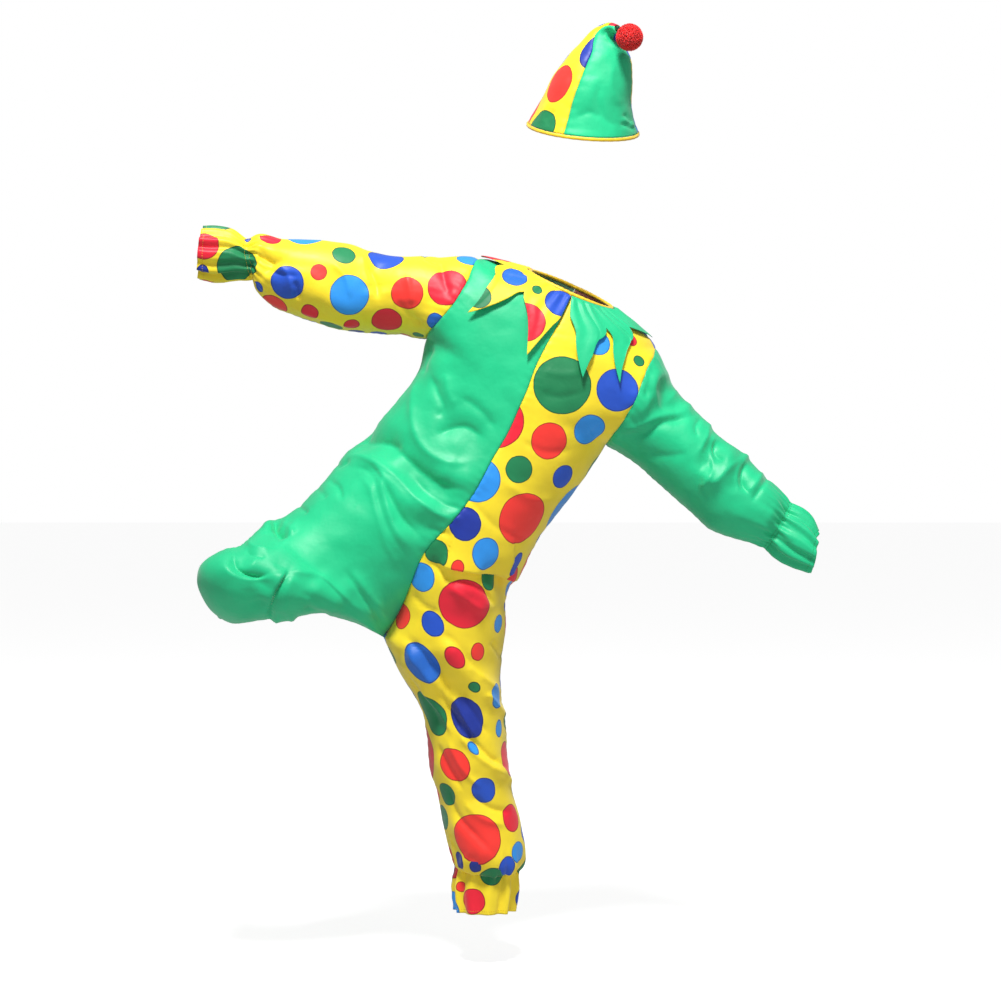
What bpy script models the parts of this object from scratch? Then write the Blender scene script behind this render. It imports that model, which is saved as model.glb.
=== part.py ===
"""A child's clown costume, worn: a two-colour jumpsuit with a pointed collar, and its cone hat.

Run it with: blender --background --python part.py
The origin is the centre of the neck opening. X runs to the wearer's left, -Y is the front, +Z is up.
The sizes in the tables are millimetres; the finished objects are in metres.
"""

import math

import bpy
import numpy as np

MM = 0.001

CLOTH = 1.5
SEAM_GAP = 0.3

BODY_COLUMNS = 11
SLEEVE_ROWS = 8
SHOULDER_ROWS = 2
ARMHOLE_ROWS = 11
TORSO_ROWS = 13
LEG_ROWS = 13
FRILL_ROWS = 4
FRILL_SPLIT = 2

SQUARENESS = 2.15
ARMHOLE_ANGLE = math.radians(52)
TORSO_UP = np.array([0.39, 0.0, 0.92])
FRONT = np.array([0.0, -1.0, 0.0])

# Rows of the torso, from the neck to the hips. mid is the middle of the ring, front and back are
# its half depths, and right and left are the side seams (or the armhole edges).
TORSO_COLUMNS = "mid_x mid_z mid_y front back right_x right_z left_x left_z tilt"
TORSO = [
    (14, -7, 0, 58, 56, -50, 25, 71, -30, 11),
    (3, -31, 0, 72, 69, -84, 35, 103, -55, 9),
    (-9, -55, 0, 82, 80, -116, 41, 129, -84, 7),
    (-24, -83, 0, 88, 86, -132, 7, 115, -113, 5),
    (-39, -114, 0, 93, 90, -150, -24, 101, -147, 3),
    (-50, -145, 0, 96, 92, -171, -50, 83, -183, 1),
    (-62, -172, 0, 98, 93, -190, -71, 60, -220, 0),
    (-77, -206, 0, 100, 94, -200, -118, 38, -255, 0),
    (-98, -241, 0, 103, 95, -224, -148, 3, -303, 0),
    (-122, -286, 0, 107, 97, -267, -196, -36, -354, 0),
    (-149, -322, 0, 110, 100, -308, -235, -59, -399, 0),
]
SHOULDER_ROW = 2
UNDERARM_ROW = 6

# Rows that fan round the crotch. seam_front and seam_back are half the gap between the centre
# front and centre back seams, which close at the last row.
CROTCH_COLUMNS = (
    "mid_x mid_z mid_y seam_front seam_back right_x right_z right_y right_front right_back "
    "left_x left_z left_y left_front left_back"
)
CROTCH = [
    (-173, -348, 0, 106, 97, -332, -269, -12, 108, 99, -78, -426, 0, 107, 98),
    (-194, -373, 0, 96, 90, -352, -293, -20, 105, 97, -83, -448, 0, 101, 94),
    (-210, -413, -2, 78, 74, -368, -307, -28, 101, 94, -81, -475, 0, 94, 90),
    (-223, -444, -6, 56, 53, -381, -315, -36, 97, 92, -83, -497, 0, 88, 85),
    (-238, -470, -11, 30, 28, -394, -319, -44, 95, 89, -85, -514, 0, 84, 82),
    (-250, -487, -18, 0, 0, -403, -322, -52, 93, 86, -87, -531, 0, 80, 78),
]

# Rows of a leg, from the crotch to the hem. inner is the inseam, outer is the side seam, turn is
# how far the row's front faces to the wearer's right, in degrees, and gather is the depth of the
# elastic's pleats.
LEG_COLUMNS = "inner_x inner_z inner_y outer_x outer_z outer_y front back turn gather"
LEFT_LEG = [
    (-241, -510, -11, -88, -556, 0, 77, 77, 0, 0),
    (-224, -542, -4, -88, -577, 0, 74, 74, 0, 0),
    (-210, -568, 0, -85, -596, 0, 71, 71, 0, 0),
    (-192, -619, 2, -81, -630, 2, 66, 66, 0, 0),
    (-188, -664, 4, -77, -677, 4, 63, 63, 0, 0),
    (-175, -704, 6, -69, -713, 6, 61, 61, 0, 0),
    (-170, -740, 8, -59, -749, 8, 60, 60, 0, 0),
    (-164, -771, 9, -53, -781, 9, 60, 60, 0, 0),
    (-156, -797, 10, -53, -804, 10, 57, 57, 0, 0.4),
    (-149, -812, 10, -64, -815, 10, 42, 42, 0, 2.2),
    (-154, -833, 10, -63, -836, 10, 46, 46, 0, 2.6),
    (-150, -871, 10, -69, -871, 10, 47, 47, 0, 3.4),
]
RIGHT_LEG = [
    (-274, -473, -33, -414, -330, -64, 89, 86, -4, 0),
    (-298, -462, -50, -425, -343, -80, 85, 80, -7, 0),
    (-325, -456, -68, -435, -352, -95, 80, 74, -8, 0),
    (-355, -455, -85, -444, -358, -106, 75, 68, -6, 0),
    (-382, -458, -95, -455, -361, -111, 70, 62, 0, 0),
    (-405, -460, -99, -463, -365, -112, 63, 54, 9, 0),
    (-428, -463, -96, -475, -373, -106, 52, 44, 28, 0),
    (-444, -465, -80, -480, -383, -86, 39, 36, 54, 0),
    (-450, -466, -55, -479, -388, -58, 31, 34, 74, 0),
    (-456, -468, -22, -477, -390, -24, 29, 40, 84, 0),
    (-462, -468, 15, -478, -394, 14, 29, 50, 88, 0.4),
    (-470, -460, 34, -480, -404, 34, 28, 31, 90, 2.2),
    (-470, -466, 56, -478, -398, 56, 33, 34, 90, 2.6),
    (-470, -470, 95, -478, -396, 95, 37, 37, 90, 3.2),
]
LEG_GATHERS = 11

# Rows of a sleeve, from the armhole to the cuff's edge.
SLEEVE_COLUMNS = "top_x top_z under_x under_z mid_y depth gather"
RIGHT_SLEEVE = [
    (-116, 41, -190, -71, 0, 66, 0),
    (-144, 43, -210, -69, 0, 63, 0),
    (-171, 42, -228, -65, -2, 61, 0),
    (-197, 44, -246, -65, -4, 59, 0),
    (-224, 43, -267, -63, -6, 57, 0),
    (-270, 51, -306, -60, -10, 56, 0),
    (-297, 59, -340, -51, -13, 55, 0),
    (-339, 64, -381, -38, -17, 52, 0),
    (-388, 65, -407, -26, -21, 46, 0),
    (-419, 71, -424, -8, -24, 41, 0.4),
    (-439, 64, -432, 10, -26, 29, 2.2),
    (-461, 76, -453, 10, -28, 33, 2.4),
    (-484, 79, -480, 7, -31, 35, 2.8),
    (-499, 78, -505, 12, -33, 35, 3.2),
]
LEFT_SLEEVE = [
    (129, -84, 60, -220, 0, 66, 0),
    (141, -109, 76, -228, 0, 64, 0),
    (154, -135, 92, -239, -2, 62, 0),
    (168, -154, 110, -253, -4, 60, 0),
    (192, -178, 132, -273, -8, 58, 0),
    (212, -203, 156, -294, -12, 57, 0),
    (233, -222, 179, -316, -16, 56, 0),
    (255, -238, 204, -339, -20, 54, 0),
    (278, -263, 235, -350, -24, 48, 0),
    (299, -284, 261, -356, -27, 42, 0.4),
    (314, -302, 279, -363, -29, 29, 2.2),
    (330, -311, 294, -376, -31, 33, 2.4),
    (342, -324, 319, -388, -33, 35, 2.8),
    (349, -341, 342, -395, -35, 33, 3.2),
]
SLEEVE_GATHERS = 11
SLEEVE_BLEND = 75
FOLD_START = 25

# The largest folds, seen from the front or the back: three points of each fold's line, its half
# width, and its height, which is negative for a hollow. side is 1 at the front and -1 at the back.
FOLD_COLUMNS = "side x0 z0 x1 z1 x2 z2 width height"
FOLDS = [
    (1, -178, -90, -176, -130, -178, -178, 24, 4),
    (1, -180, -255, -150, -272, -112, -268, 21, 8.5),
    (1, -228, -232, -190, -278, -132, -292, 21, -9.5),
    (1, -300, -208, -262, -212, -220, -224, 18, -11),
    (1, -262, -245, -222, -292, -158, -320, 20, 9.5),
    (1, -258, -268, -222, -318, -165, -342, 20, -8.5),
    (1, -182, -195, -140, -200, -105, -228, 21, -6),
    (1, -268, -250, -240, -310, -205, -378, 17, 6),
    (1, -388, -392, -412, -425, -405, -452, 21, -12),
    (1, -440, -352, -426, -394, -385, -392, 18, -9.5),
    (1, -346, -405, -322, -425, -298, -445, 21, 7),
    (1, -300, -395, -275, -428, -254, -462, 18, 7),
    (1, -404, -322, -392, -335, -372, -342, 17, -9.5),
    (1, -218, -500, -196, -532, -170, -568, 20, 8.5),
    (1, -196, -500, -164, -546, -118, -588, 20, -8.5),
    (1, -172, -482, -142, -522, -84, -590, 18, 7),
    (1, -190, -568, -152, -612, -112, -660, 20, -9.5),
    (1, -166, -600, -122, -648, -82, -690, 18, 8.5),
    (1, -122, -392, -92, -396, -68, -412, 15, -11),
    (1, -158, -412, -124, -420, -94, -452, 18, 8.5),
    (1, -150, -720, -122, -770, -98, -792, 20, 7),
    (1, -426, 48, -408, 28, -396, 14, 17, -9.5),
    (1, -264, 40, -258, 10, -256, -16, 21, -7),
    (1, -360, -2, -318, -26, -272, -44, 18, 7),
    (1, 132, -120, 140, -165, 178, -172, 20, -11),
    (1, 126, -108, 118, -150, 84, -182, 20, 8.5),
    (1, 182, -262, 204, -266, 246, -222, 18, 9.5),
    (1, 206, -210, 206, -240, 190, -268, 17, -8.5),
    (1, 244, -230, 240, -262, 244, -290, 17, -7),
    (-1, -190, -110, -150, -170, -90, -215, 24, 7),
    (-1, 20, -150, -20, -210, -80, -245, 22, 7),
    (-1, -230, -190, -160, -230, -90, -300, 22, -8.5),
    (-1, -270, -235, -200, -275, -130, -330, 21, 9.5),
    (-1, -310, -262, -240, -312, -170, -372, 20, -9.5),
    (-1, -60, -300, -100, -345, -160, -370, 21, -8.5),
    (-1, -345, -300, -300, -360, -235, -430, 20, 7),
    (-1, -300, -440, -350, -420, -400, -380, 20, -8.5),
    (-1, -90, -440, -130, -490, -190, -520, 21, 8.5),
    (-1, -95, -500, -140, -550, -200, -590, 20, -8.5),
    (-1, -85, -600, -120, -650, -180, -690, 20, 8.5),
    (-1, -70, -690, -110, -720, -160, -780, 20, -7),
    (-1, -230, 20, -280, 0, -330, 10, 20, -7),
    (-1, -210, -20, -270, -30, -350, -10, 20, 7),
    (-1, 130, -140, 165, -190, 200, -220, 20, 8.5),
    (-1, 110, -190, 160, -245, 215, -290, 20, -7),
]

# The collar has five points on each half. Each row is a line down a point or a valley: where it
# leaves the neck and where it ends (0 at the centre front, 2 at the centre back), how far down
# the body it runs, how far its end stands off the cloth, and how hollow the edge after it is.
COLLAR_COLUMNS = "neck edge reach lift bend"
RIGHT_COLLAR = [
    (0.0, 0.0, 42, 3, 1.0),
    (0.18, 0.1, 112, 6, 1.0),
    (0.32, 0.3, 42, 3.5, 1.0),
    (0.4, 0.78, 158, 7, 1.0),
    (0.43, 0.71, 106, 5.5, 1.0),
    (0.47, 0.62, 70, 4.5, 1.0),
    (0.62, 0.66, 40, 3.5, 1.0),
    (1.0, 1.04, 74, 5, 1.0),
    (1.24, 1.24, 34, 3.5, 1.0),
    (1.44, 1.45, 98, 6, 1.0),
    (1.62, 1.62, 38, 3, 1.0),
    (1.8, 1.82, 106, 6, 1.0),
    (2.0, 2.0, 36, 3, 1.0),
]
LEFT_COLLAR = [
    (0.0, 0.04, 34, 3, 1.0),
    (0.1, 0.4, 134, 6, 1.1),
    (0.125, 0.36, 96, 5, 1.0),
    (0.18, 0.29, 62, 4, 1.0),
    (0.26, 0.33, 42, 3.5, 1.0),
    (0.33, 0.76, 158, 6, 1.0),
    (0.355, 0.66, 114, 5, 1.0),
    (0.39, 0.53, 64, 4, 1.0),
    (0.54, 0.59, 43, 3.5, 1.0),
    (0.94, 0.98, 66, 5, 1.0),
    (1.12, 1.12, 38, 3.5, 1.0),
    (1.34, 1.34, 98, 6, 1.0),
    (1.56, 1.56, 38, 3, 1.0),
    (1.78, 1.8, 110, 6, 1.0),
    (2.0, 2.0, 36, 3, 1.0),
]
COLLAR_CLEAR = 1.5
COLLAR_PLEATS = 20
COLLAR_PLEAT = 1.2
COLLAR_POINT_COLUMNS = 4
COLLAR_ROW_COUNT = 5

BINDING_RADIUS = 2.8
BINDING_CLEAR = 0.9
BINDING_POINTS = 34

# Rows of the hat, from its brim to its tip: the ring's middle, its half width and half depth, and
# how far its axis turns to the wearer's left and leans forward, in degrees.
HAT_COLUMNS = "x y z wide deep turn lean"
HAT = [
    (28, -10, 224, 77, 77, 5, 20),
    (33, -20, 258, 63, 62, 4, 18),
    (41, -28, 286, 55, 52, 4, 16),
    (50, -34, 315, 43, 38, 6, 14),
    (56, -38, 332, 32, 24, 12, 16),
    (59, -44, 347, 18, 14, 26, 26),
    (66, -54, 352, 11, 10, 46, 36),
    (74, -64, 347, 8, 8, 74, 42),
]
HAT_GORES = 4
HAT_FIRST_SEAM = math.radians(-21)
GORE_COLUMNS = 6
GORE_ROWS = 9
HAT_BAND_RADIUS = 2.5
HAT_BAND_POINTS = 30

POMPOM_CENTRE = np.array([88.3, -80.0, 333.7])
POMPOM_CORE = 16.5
POMPOM_REACH = 18.8
POMPOM_SEGMENTS = 16
POMPOM_RINGS = 12
POMPOM_BARE = 8.0
POMPOM_NECK = 3.75

COLOURS = {
    "green": (0.03, 0.62, 0.28, 1.0),
    "dotted": (0.95, 0.72, 0.03, 1.0),
    "yellow": (0.95, 0.75, 0.03, 1.0),
    "red": (0.75, 0.02, 0.02, 1.0),
}
ROUGHNESS = {"green": 0.42, "dotted": 0.42, "yellow": 0.5, "red": 0.95}


def table(columns, rows):
    """Rows of numbers as one array for each named column."""
    values = np.array(rows, float).T
    return dict(zip(columns.split(), values))


def curve_through(knots, values, wanted):
    """A smooth line through the values that never overshoots them (monotone cubic pieces)."""
    step = np.diff(knots)
    rise = np.diff(values) / step
    slope = np.zeros(len(values))
    same_way = rise[:-1] * rise[1:] > 0
    before, after = rise[:-1], rise[1:]
    weight_a = 2 * step[1:] + step[:-1]
    weight_b = step[1:] + 2 * step[:-1]
    safe_before = np.where(same_way, before, 1.0)
    safe_after = np.where(same_way, after, 1.0)
    middle = (weight_a + weight_b) / (weight_a / safe_before + weight_b / safe_after)
    slope[1:-1] = np.where(same_way, middle, 0.0)
    slope[0], slope[-1] = rise[0], rise[-1]
    piece = np.clip(np.searchsorted(knots, wanted, side="right") - 1, 0, len(step) - 1)
    t = (wanted - knots[piece]) / step[piece]
    h = step[piece]
    return (
        (1 + 2 * t) * (1 - t) ** 2 * values[piece]
        + t * (1 - t) ** 2 * h * slope[piece]
        + t**2 * (3 - 2 * t) * values[piece + 1]
        + t**2 * (t - 1) * h * slope[piece + 1]
    )


def read(columns, stations):
    """Every column of a table, smoothly read at these stations (row numbers)."""
    knots = np.arange(len(next(iter(columns.values()))), dtype=float)
    return {name: curve_through(knots, values, stations) for name, values in columns.items()}


def points(columns, name):
    """Three columns, NAME_x, NAME_y and NAME_z, as points."""
    return np.stack([columns[f"{name}_{axis}"] for axis in "xyz"], axis=-1)


def ease(value, low, high):
    """0 below low, 1 above high, and smooth between them."""
    t = np.clip((value - low) / (high - low), 0, 1)
    return t * t * (3 - 2 * t)


def unit(vectors):
    return vectors / np.maximum(np.linalg.norm(vectors, axis=-1, keepdims=True), 1e-9)


def spread(length_of, low, high, count):
    """Stations from low to high that lie the same distance apart along a line of points."""
    fine = np.linspace(low, high, 400)
    line = length_of(fine)
    along = np.concatenate([[0], np.cumsum(np.linalg.norm(np.diff(line, axis=0), axis=1))])
    return np.interp(np.linspace(0, along[-1], count + 1), along, fine)


class Half:
    """One half of the jumpsuit: a table of half rings from the neck round the side to the hem."""

    def __init__(self, side, leg):
        torso = table(TORSO_COLUMNS, TORSO)
        crotch = table(CROTCH_COLUMNS, CROTCH)
        leg = table(LEG_COLUMNS, leg)
        zero = np.zeros(len(TORSO))
        none = np.zeros(len(CROTCH))
        self.shared_rows = len(TORSO) + len(CROTCH)
        self.shared = {
            "inner_x": np.concatenate([torso["mid_x"], crotch["mid_x"]]),
            "inner_y": np.concatenate([torso["mid_y"], crotch["mid_y"]]),
            "inner_z": np.concatenate([torso["mid_z"], crotch["mid_z"]]),
            "seam_front": np.concatenate([torso["front"], crotch["seam_front"]]),
            "seam_back": np.concatenate([torso["back"], crotch["seam_back"]]),
            "tilt": np.concatenate([torso["tilt"], none]),
        }
        self.leg_only = {
            name: np.concatenate([self.shared[name][-1:], leg[name]])
            for name in ("inner_x", "inner_y", "inner_z")
        }
        self.own = {
            "outer_x": np.concatenate([torso[f"{side}_x"], crotch[f"{side}_x"], leg["outer_x"]]),
            "outer_y": np.concatenate([zero, crotch[f"{side}_y"], leg["outer_y"]]),
            "outer_z": np.concatenate([torso[f"{side}_z"], crotch[f"{side}_z"], leg["outer_z"]]),
            "front": np.concatenate([torso["front"], crotch[f"{side}_front"], leg["front"]]),
            "back": np.concatenate([torso["back"], crotch[f"{side}_back"], leg["back"]]),
            "turn": np.concatenate([zero, none, leg["turn"]]),
            "gather": np.concatenate([zero, none, leg["gather"]]),
        }
        self.last_shared = self.shared_rows - 1
        self.last = self.shared_rows + len(leg["turn"]) - 1

    def rows(self, stations):
        """The half rings' measures at these stations."""
        own = read(self.own, stations)
        above = read(self.shared, np.minimum(stations, self.last_shared))
        below = read(self.leg_only, np.maximum(stations - self.last_shared, 0))
        in_leg = stations > self.last_shared
        for name in ("inner_x", "inner_y", "inner_z"):
            own[name] = np.where(in_leg, below[name], above[name])
        for name in ("seam_front", "seam_back", "tilt"):
            own[name] = np.where(in_leg, 0.0, above[name])
        return own

    def middle_line(self, stations):
        rows = self.rows(stations)
        return (points(rows, "inner") + points(rows, "outer")) / 2

    def quarter(self, stations, way, columns):
        """The front (way 1) or back (way -1) quarter of each half ring, from the centre seam to
        the side seam, the armhole's edge or, on the leg, from the inseam to the side seam."""
        rows = self.rows(stations)
        inner, outer = points(rows, "inner"), points(rows, "outer")
        depth = rows["front"] if way > 0 else rows["back"]
        seam = np.minimum(rows["seam_front"] if way > 0 else rows["seam_back"], depth)
        power = 2 / SQUARENESS
        start = np.pi - np.arcsin(np.clip(seam / depth, 0, 1) ** (1 / power))
        across_armhole = (stations - SHOULDER_ROW) / (UNDERARM_ROW - SHOULDER_ROW)
        inside = np.clip(1 - (2 * across_armhole - 1) ** 2, 0, 1)
        end = ARMHOLE_ANGLE * np.sqrt(inside)
        share = np.linspace(0, 1, columns + 1)
        angle = start[:, None] + (end - start)[:, None] * share

        def flat(a):
            return np.sign(np.cos(a)) * np.abs(np.cos(a)) ** power

        reach = (outer - inner) / (flat(end) - flat(start))[:, None]
        middle = inner - reach * flat(start)[:, None]
        turn, tilt = np.radians(rows["turn"]), np.radians(rows["tilt"])
        forward = np.stack([-np.sin(turn), -np.cos(turn), np.zeros(len(turn))], axis=-1)
        forward = forward * np.cos(tilt)[:, None] - TORSO_UP * np.sin(tilt)[:, None]
        lift = np.abs(np.sin(angle)) ** power * (way * depth)[:, None]
        return (
            middle[:, None]
            + reach[:, None] * flat(angle)[..., None]
            + forward[:, None] * lift[..., None]
        )


def gathers(rows_gather, around, count):
    """The height of the elastic's pleats at each place around a tube (0 to 1)."""
    wave = np.cos(2 * np.pi * count * around)
    return rows_gather[:, None] * wave[None]


def grid_normals(grid):
    """A normal at each point of a grid, which the caller turns outwards."""
    along = np.gradient(grid, axis=0)
    across = np.gradient(grid, axis=1)
    return unit(np.cross(across, along))


def fold_height(place, normal, folds):
    """How far the folds raise the cloth at these places."""
    height = np.zeros(place.shape[:-1])
    flat = place[..., [0, 2]]
    for i in range(len(folds["side"])):
        a, b, c = (
            np.array([folds[f"x{k}"][i], folds[f"z{k}"][i]]) for k in range(3)
        )
        facing = ease(-folds["side"][i] * normal[..., 1], -0.45, 0.15)
        nearest = np.full(height.shape, 1e9)
        along = np.zeros(height.shape)
        for k, (p, q) in enumerate(((a, b), (b, c))):
            t = np.clip(((flat - p) @ (q - p)) / ((q - p) @ (q - p)), 0, 1)
            gap = np.linalg.norm(flat - (p + t[..., None] * (q - p)), axis=-1)
            closer = gap < nearest
            nearest = np.where(closer, gap, nearest)
            along = np.where(closer, (k + t) / 2, along)
        fade = ease(along, 0, 0.3) * ease(1 - along, 0, 0.3)
        across = np.exp(-((nearest / folds["width"][i]) ** 2))
        height += folds["height"][i] * across * (0.25 + 0.75 * fade) * facing
    return height


def mean_normals(normals, pairs):
    """Gives the edges that meet at a seam the same normals."""
    for group in pairs:
        mean = unit(sum(normals[name][where] for name, where in group))
        for name, where in group:
            normals[name][where] = mean


def jumpsuit_grids():
    """The four body panels as grids of outer points, with the shared stations."""
    halves = {"right": Half("right", RIGHT_LEG), "left": Half("left", LEFT_LEG)}
    one = halves["right"]
    armhole = np.linspace(0, np.pi, ARMHOLE_ROWS + 1)
    armhole = SHOULDER_ROW + (UNDERARM_ROW - SHOULDER_ROW) * (1 - np.cos(armhole)) / 2
    shared = np.concatenate(
        [
            spread(one.middle_line, 0, SHOULDER_ROW, SHOULDER_ROWS)[:-1],
            armhole[:-1],
            spread(one.middle_line, UNDERARM_ROW, one.last_shared, TORSO_ROWS),
        ]
    )
    grids, gather_rows = {}, {}
    for side, half in halves.items():
        frill = half.last - 3
        stations = np.concatenate(
            [
                shared,
                spread(half.middle_line, half.last_shared, frill - 1, LEG_ROWS)[1:],
                np.linspace(frill - 1, half.last, FRILL_ROWS + 1)[1:],
            ]
        )
        gather_rows[side] = half.rows(stations)["gather"]
        for panel, way in (("front", 1), ("back", -1)):
            fine = half.quarter(stations, way, BODY_COLUMNS * FRILL_SPLIT)
            grids[f"{panel}_{side}"] = fine
    return grids, gather_rows, len(shared)


def outward(grids, normals):
    """Turns each panel's normals away from the middle of its row."""
    for side in ("right", "left"):
        front, back = f"front_{side}", f"back_{side}"
        middle = (grids[front].mean(axis=1) + grids[back].mean(axis=1)) / 2
        for name in (front, back):
            away = grids[name] - middle[:, None]
            flip = np.sign((normals[name] * away).sum(axis=-1).mean())
            normals[name] *= flip


def body_seams(shared_count):
    """The seams between the body panels, as groups of edges that meet."""
    last = shared_count
    armhole = slice(SHOULDER_ROWS + 1, SHOULDER_ROWS + ARMHOLE_ROWS)
    groups = [
        [(f"front_{side}", (slice(0, last - 1), 0)) for side in ("right", "left")],
        [(f"back_{side}", (slice(0, last - 1), 0)) for side in ("right", "left")],
        [
            (f"{panel}_{side}", (last - 1, 0))
            for panel in ("front", "back")
            for side in ("right", "left")
        ],
    ]
    for side in ("right", "left"):
        both = (f"front_{side}", f"back_{side}")
        groups.append([(name, (slice(last, None), 0)) for name in both])
        groups.append([(name, (slice(0, armhole.start), -1)) for name in both])
        groups.append([(name, (slice(armhole.stop, None), -1)) for name in both])
    return groups


def settle_normals(grids, shared_count):
    normals = {name: grid_normals(grid) for name, grid in grids.items()}
    outward(grids, normals)
    mean_normals(normals, body_seams(shared_count))
    return normals


def sleeve_grid(rows_table, edge_front, edge_back):
    """A sleeve as a closed grid: columns run from the shoulder round the front to the underarm
    and back. Its first row is the armhole's edge."""
    columns = table(SLEEVE_COLUMNS, rows_table)
    last = len(rows_table) - 1
    frill = last - 3
    half_count = ARMHOLE_ROWS * FRILL_SPLIT

    def rings(stations):
        rows = read(columns, stations)
        top = np.stack([rows["top_x"], rows["mid_y"], rows["top_z"]], axis=-1)
        under = np.stack([rows["under_x"], rows["mid_y"], rows["under_z"]], axis=-1)
        angle = np.linspace(0, 2 * np.pi, 2 * half_count + 1)[:-1]
        middle, reach = (top + under) / 2, (top - under) / 2
        swing = np.cos(angle)[None, :, None] * reach[:, None]
        deep = np.sin(angle)[None, :, None] * rows["depth"][:, None, None] * FRONT
        return middle[:, None] + swing + deep, rows["gather"]

    def middle_line(stations):
        return rings(stations)[0].mean(axis=1)

    stations = np.concatenate(
        [
            spread(middle_line, 0, frill - 1, SLEEVE_ROWS),
            np.linspace(frill - 1, last, FRILL_ROWS + 1)[1:],
        ]
    )
    grid, gather = rings(stations)
    coarse = np.concatenate([edge_front, edge_back[::-1][1:-1]])
    turn = np.linspace(0, 1, len(coarse) + 1)
    closed = np.concatenate([coarse, coarse[:1]])
    fine = np.linspace(0, 1, 2 * half_count + 1)[:-1]
    edge = np.stack([np.interp(fine, turn, closed[:, k]) for k in range(3)], axis=-1)
    middles = grid.mean(axis=1)
    along = np.concatenate([[0], np.cumsum(np.linalg.norm(np.diff(middles, axis=0), axis=1))])
    fade = np.clip(1 - along / SLEEVE_BLEND, 0, 1) ** 2
    grid += fade[:, None, None] * (edge - grid[0])[None]
    return grid, gather, along


def tube_normals(grid):
    along = np.gradient(grid, axis=0)
    wrapped = np.concatenate([grid[:, -1:], grid, grid[:, :1]], axis=1)
    across = (wrapped[:, 2:] - wrapped[:, :-2]) / 2
    normal = unit(np.cross(across, along))
    away = grid - grid.mean(axis=1, keepdims=True)
    return normal * np.sign((normal * away).sum())


def pulled_in(grid, edges, gap):
    """Moves the named edges of a grid inwards along the cloth, to leave room at the seams."""
    grid = grid.copy()
    neighbour = {"top": (0, 1), "bottom": (-1, -2)}
    for edge in edges:
        if edge in neighbour:
            at, beside = neighbour[edge]
            grid[at] += unit(grid[beside] - grid[at]) * gap
        else:
            at, beside = (0, 1) if edge == "first" else (-1, -2)
            grid[:, at] += unit(grid[:, beside] - grid[:, at]) * gap
    return grid


def thinned(row, split):
    """Every split-th point of a row."""
    return row[::split]


def strip_faces(upper, lower, closed):
    """Faces between two rows of point numbers, where the lower row may be split finer."""
    upper, lower = list(upper), list(lower)
    if closed:
        upper, lower = upper + upper[:1], lower + lower[:1]
    faces = []
    if len(upper) == len(lower):
        for i in range(len(upper) - 1):
            faces.append((upper[i], upper[i + 1], lower[i + 1], lower[i]))
        return faces
    split = (len(lower) - 1) // (len(upper) - 1)
    for i in range(len(upper) - 1):
        fine = lower[i * split : (i + 1) * split + 1]
        turn = split // 2
        faces += [(upper[i], fine[k + 1], fine[k]) for k in range(turn)]
        faces.append((upper[i], upper[i + 1], fine[turn]))
        faces += [(upper[i + 1], fine[k + 1], fine[k]) for k in range(turn, split)]
    return faces


def corner_sets(places):
    """The corners of a face's triangles, split by the shorter diagonal if it has four sides."""
    if len(places) == 3:
        return ((0, 1, 2),)
    first = np.linalg.norm(np.subtract(places[0], places[2]))
    second = np.linalg.norm(np.subtract(places[1], places[3]))
    return ((0, 1, 2), (0, 2, 3)) if first <= second else ((0, 1, 3), (1, 2, 3))


def wall_mesh(name, outer_rows, inner_rows, closed=False):
    """A cloth wall between two lists of rows, with rims along its edges."""
    verts, numbers = [], {"outer": [], "inner": []}
    for layer, rows in (("outer", outer_rows), ("inner", inner_rows)):
        for row in rows:
            start = len(verts)
            verts += [tuple(p * MM) for p in row]
            numbers[layer].append(list(range(start, start + len(row))))
    outer, inner = numbers["outer"], numbers["inner"]
    faces = []
    for i in range(len(outer) - 1):
        strip = strip_faces(outer[i], outer[i + 1], closed)
        for face, twin in zip(strip, strip_faces(inner[i], inner[i + 1], closed)):
            for corners in corner_sets([verts[k] for k in face]):
                faces.append([face[k] for k in corners])
                faces.append([twin[k] for k in corners[::-1]])
    faces += strip_faces(inner[0], outer[0], closed)
    faces += strip_faces(outer[-1], inner[-1], closed)
    if not closed:
        first = [row[0] for row in outer], [row[0] for row in inner]
        last = [row[-1] for row in outer], [row[-1] for row in inner]
        for i in range(len(outer) - 1):
            faces.append((first[0][i], first[0][i + 1], first[1][i + 1], first[1][i]))
            faces.append((last[1][i], last[1][i + 1], last[0][i + 1], last[0][i]))
    mesh = bpy.data.meshes.new(name)
    mesh.from_pydata(verts, [], faces)
    mesh.update()
    return mesh


def face_outwards(mesh):
    """Turns a closed mesh the right way out, by the sign of its volume."""
    mesh.calc_loop_triangles()
    corners = np.array([[mesh.vertices[i].co for i in t.vertices] for t in mesh.loop_triangles])
    volume = np.einsum("ij,ij->i", corners[:, 0], np.cross(corners[:, 1], corners[:, 2])).sum()
    if volume < 0:
        mesh.flip_normals()


def material(slot):
    """A Principled material in the slot's colour."""
    found = bpy.data.materials.get(slot)
    if found:
        return found
    made = bpy.data.materials.new(slot)
    made.use_nodes = True
    shader = made.node_tree.nodes["Principled BSDF"]
    shader.inputs["Base Color"].default_value = COLOURS[slot]
    shader.inputs["Roughness"].default_value = ROUGHNESS[slot]
    made.diffuse_color = COLOURS[slot]
    return made


def add_object(name, data, slot, collection):
    data.materials.append(material(slot))
    made = bpy.data.objects.new(name, data)
    collection.objects.link(made)
    return made


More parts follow.
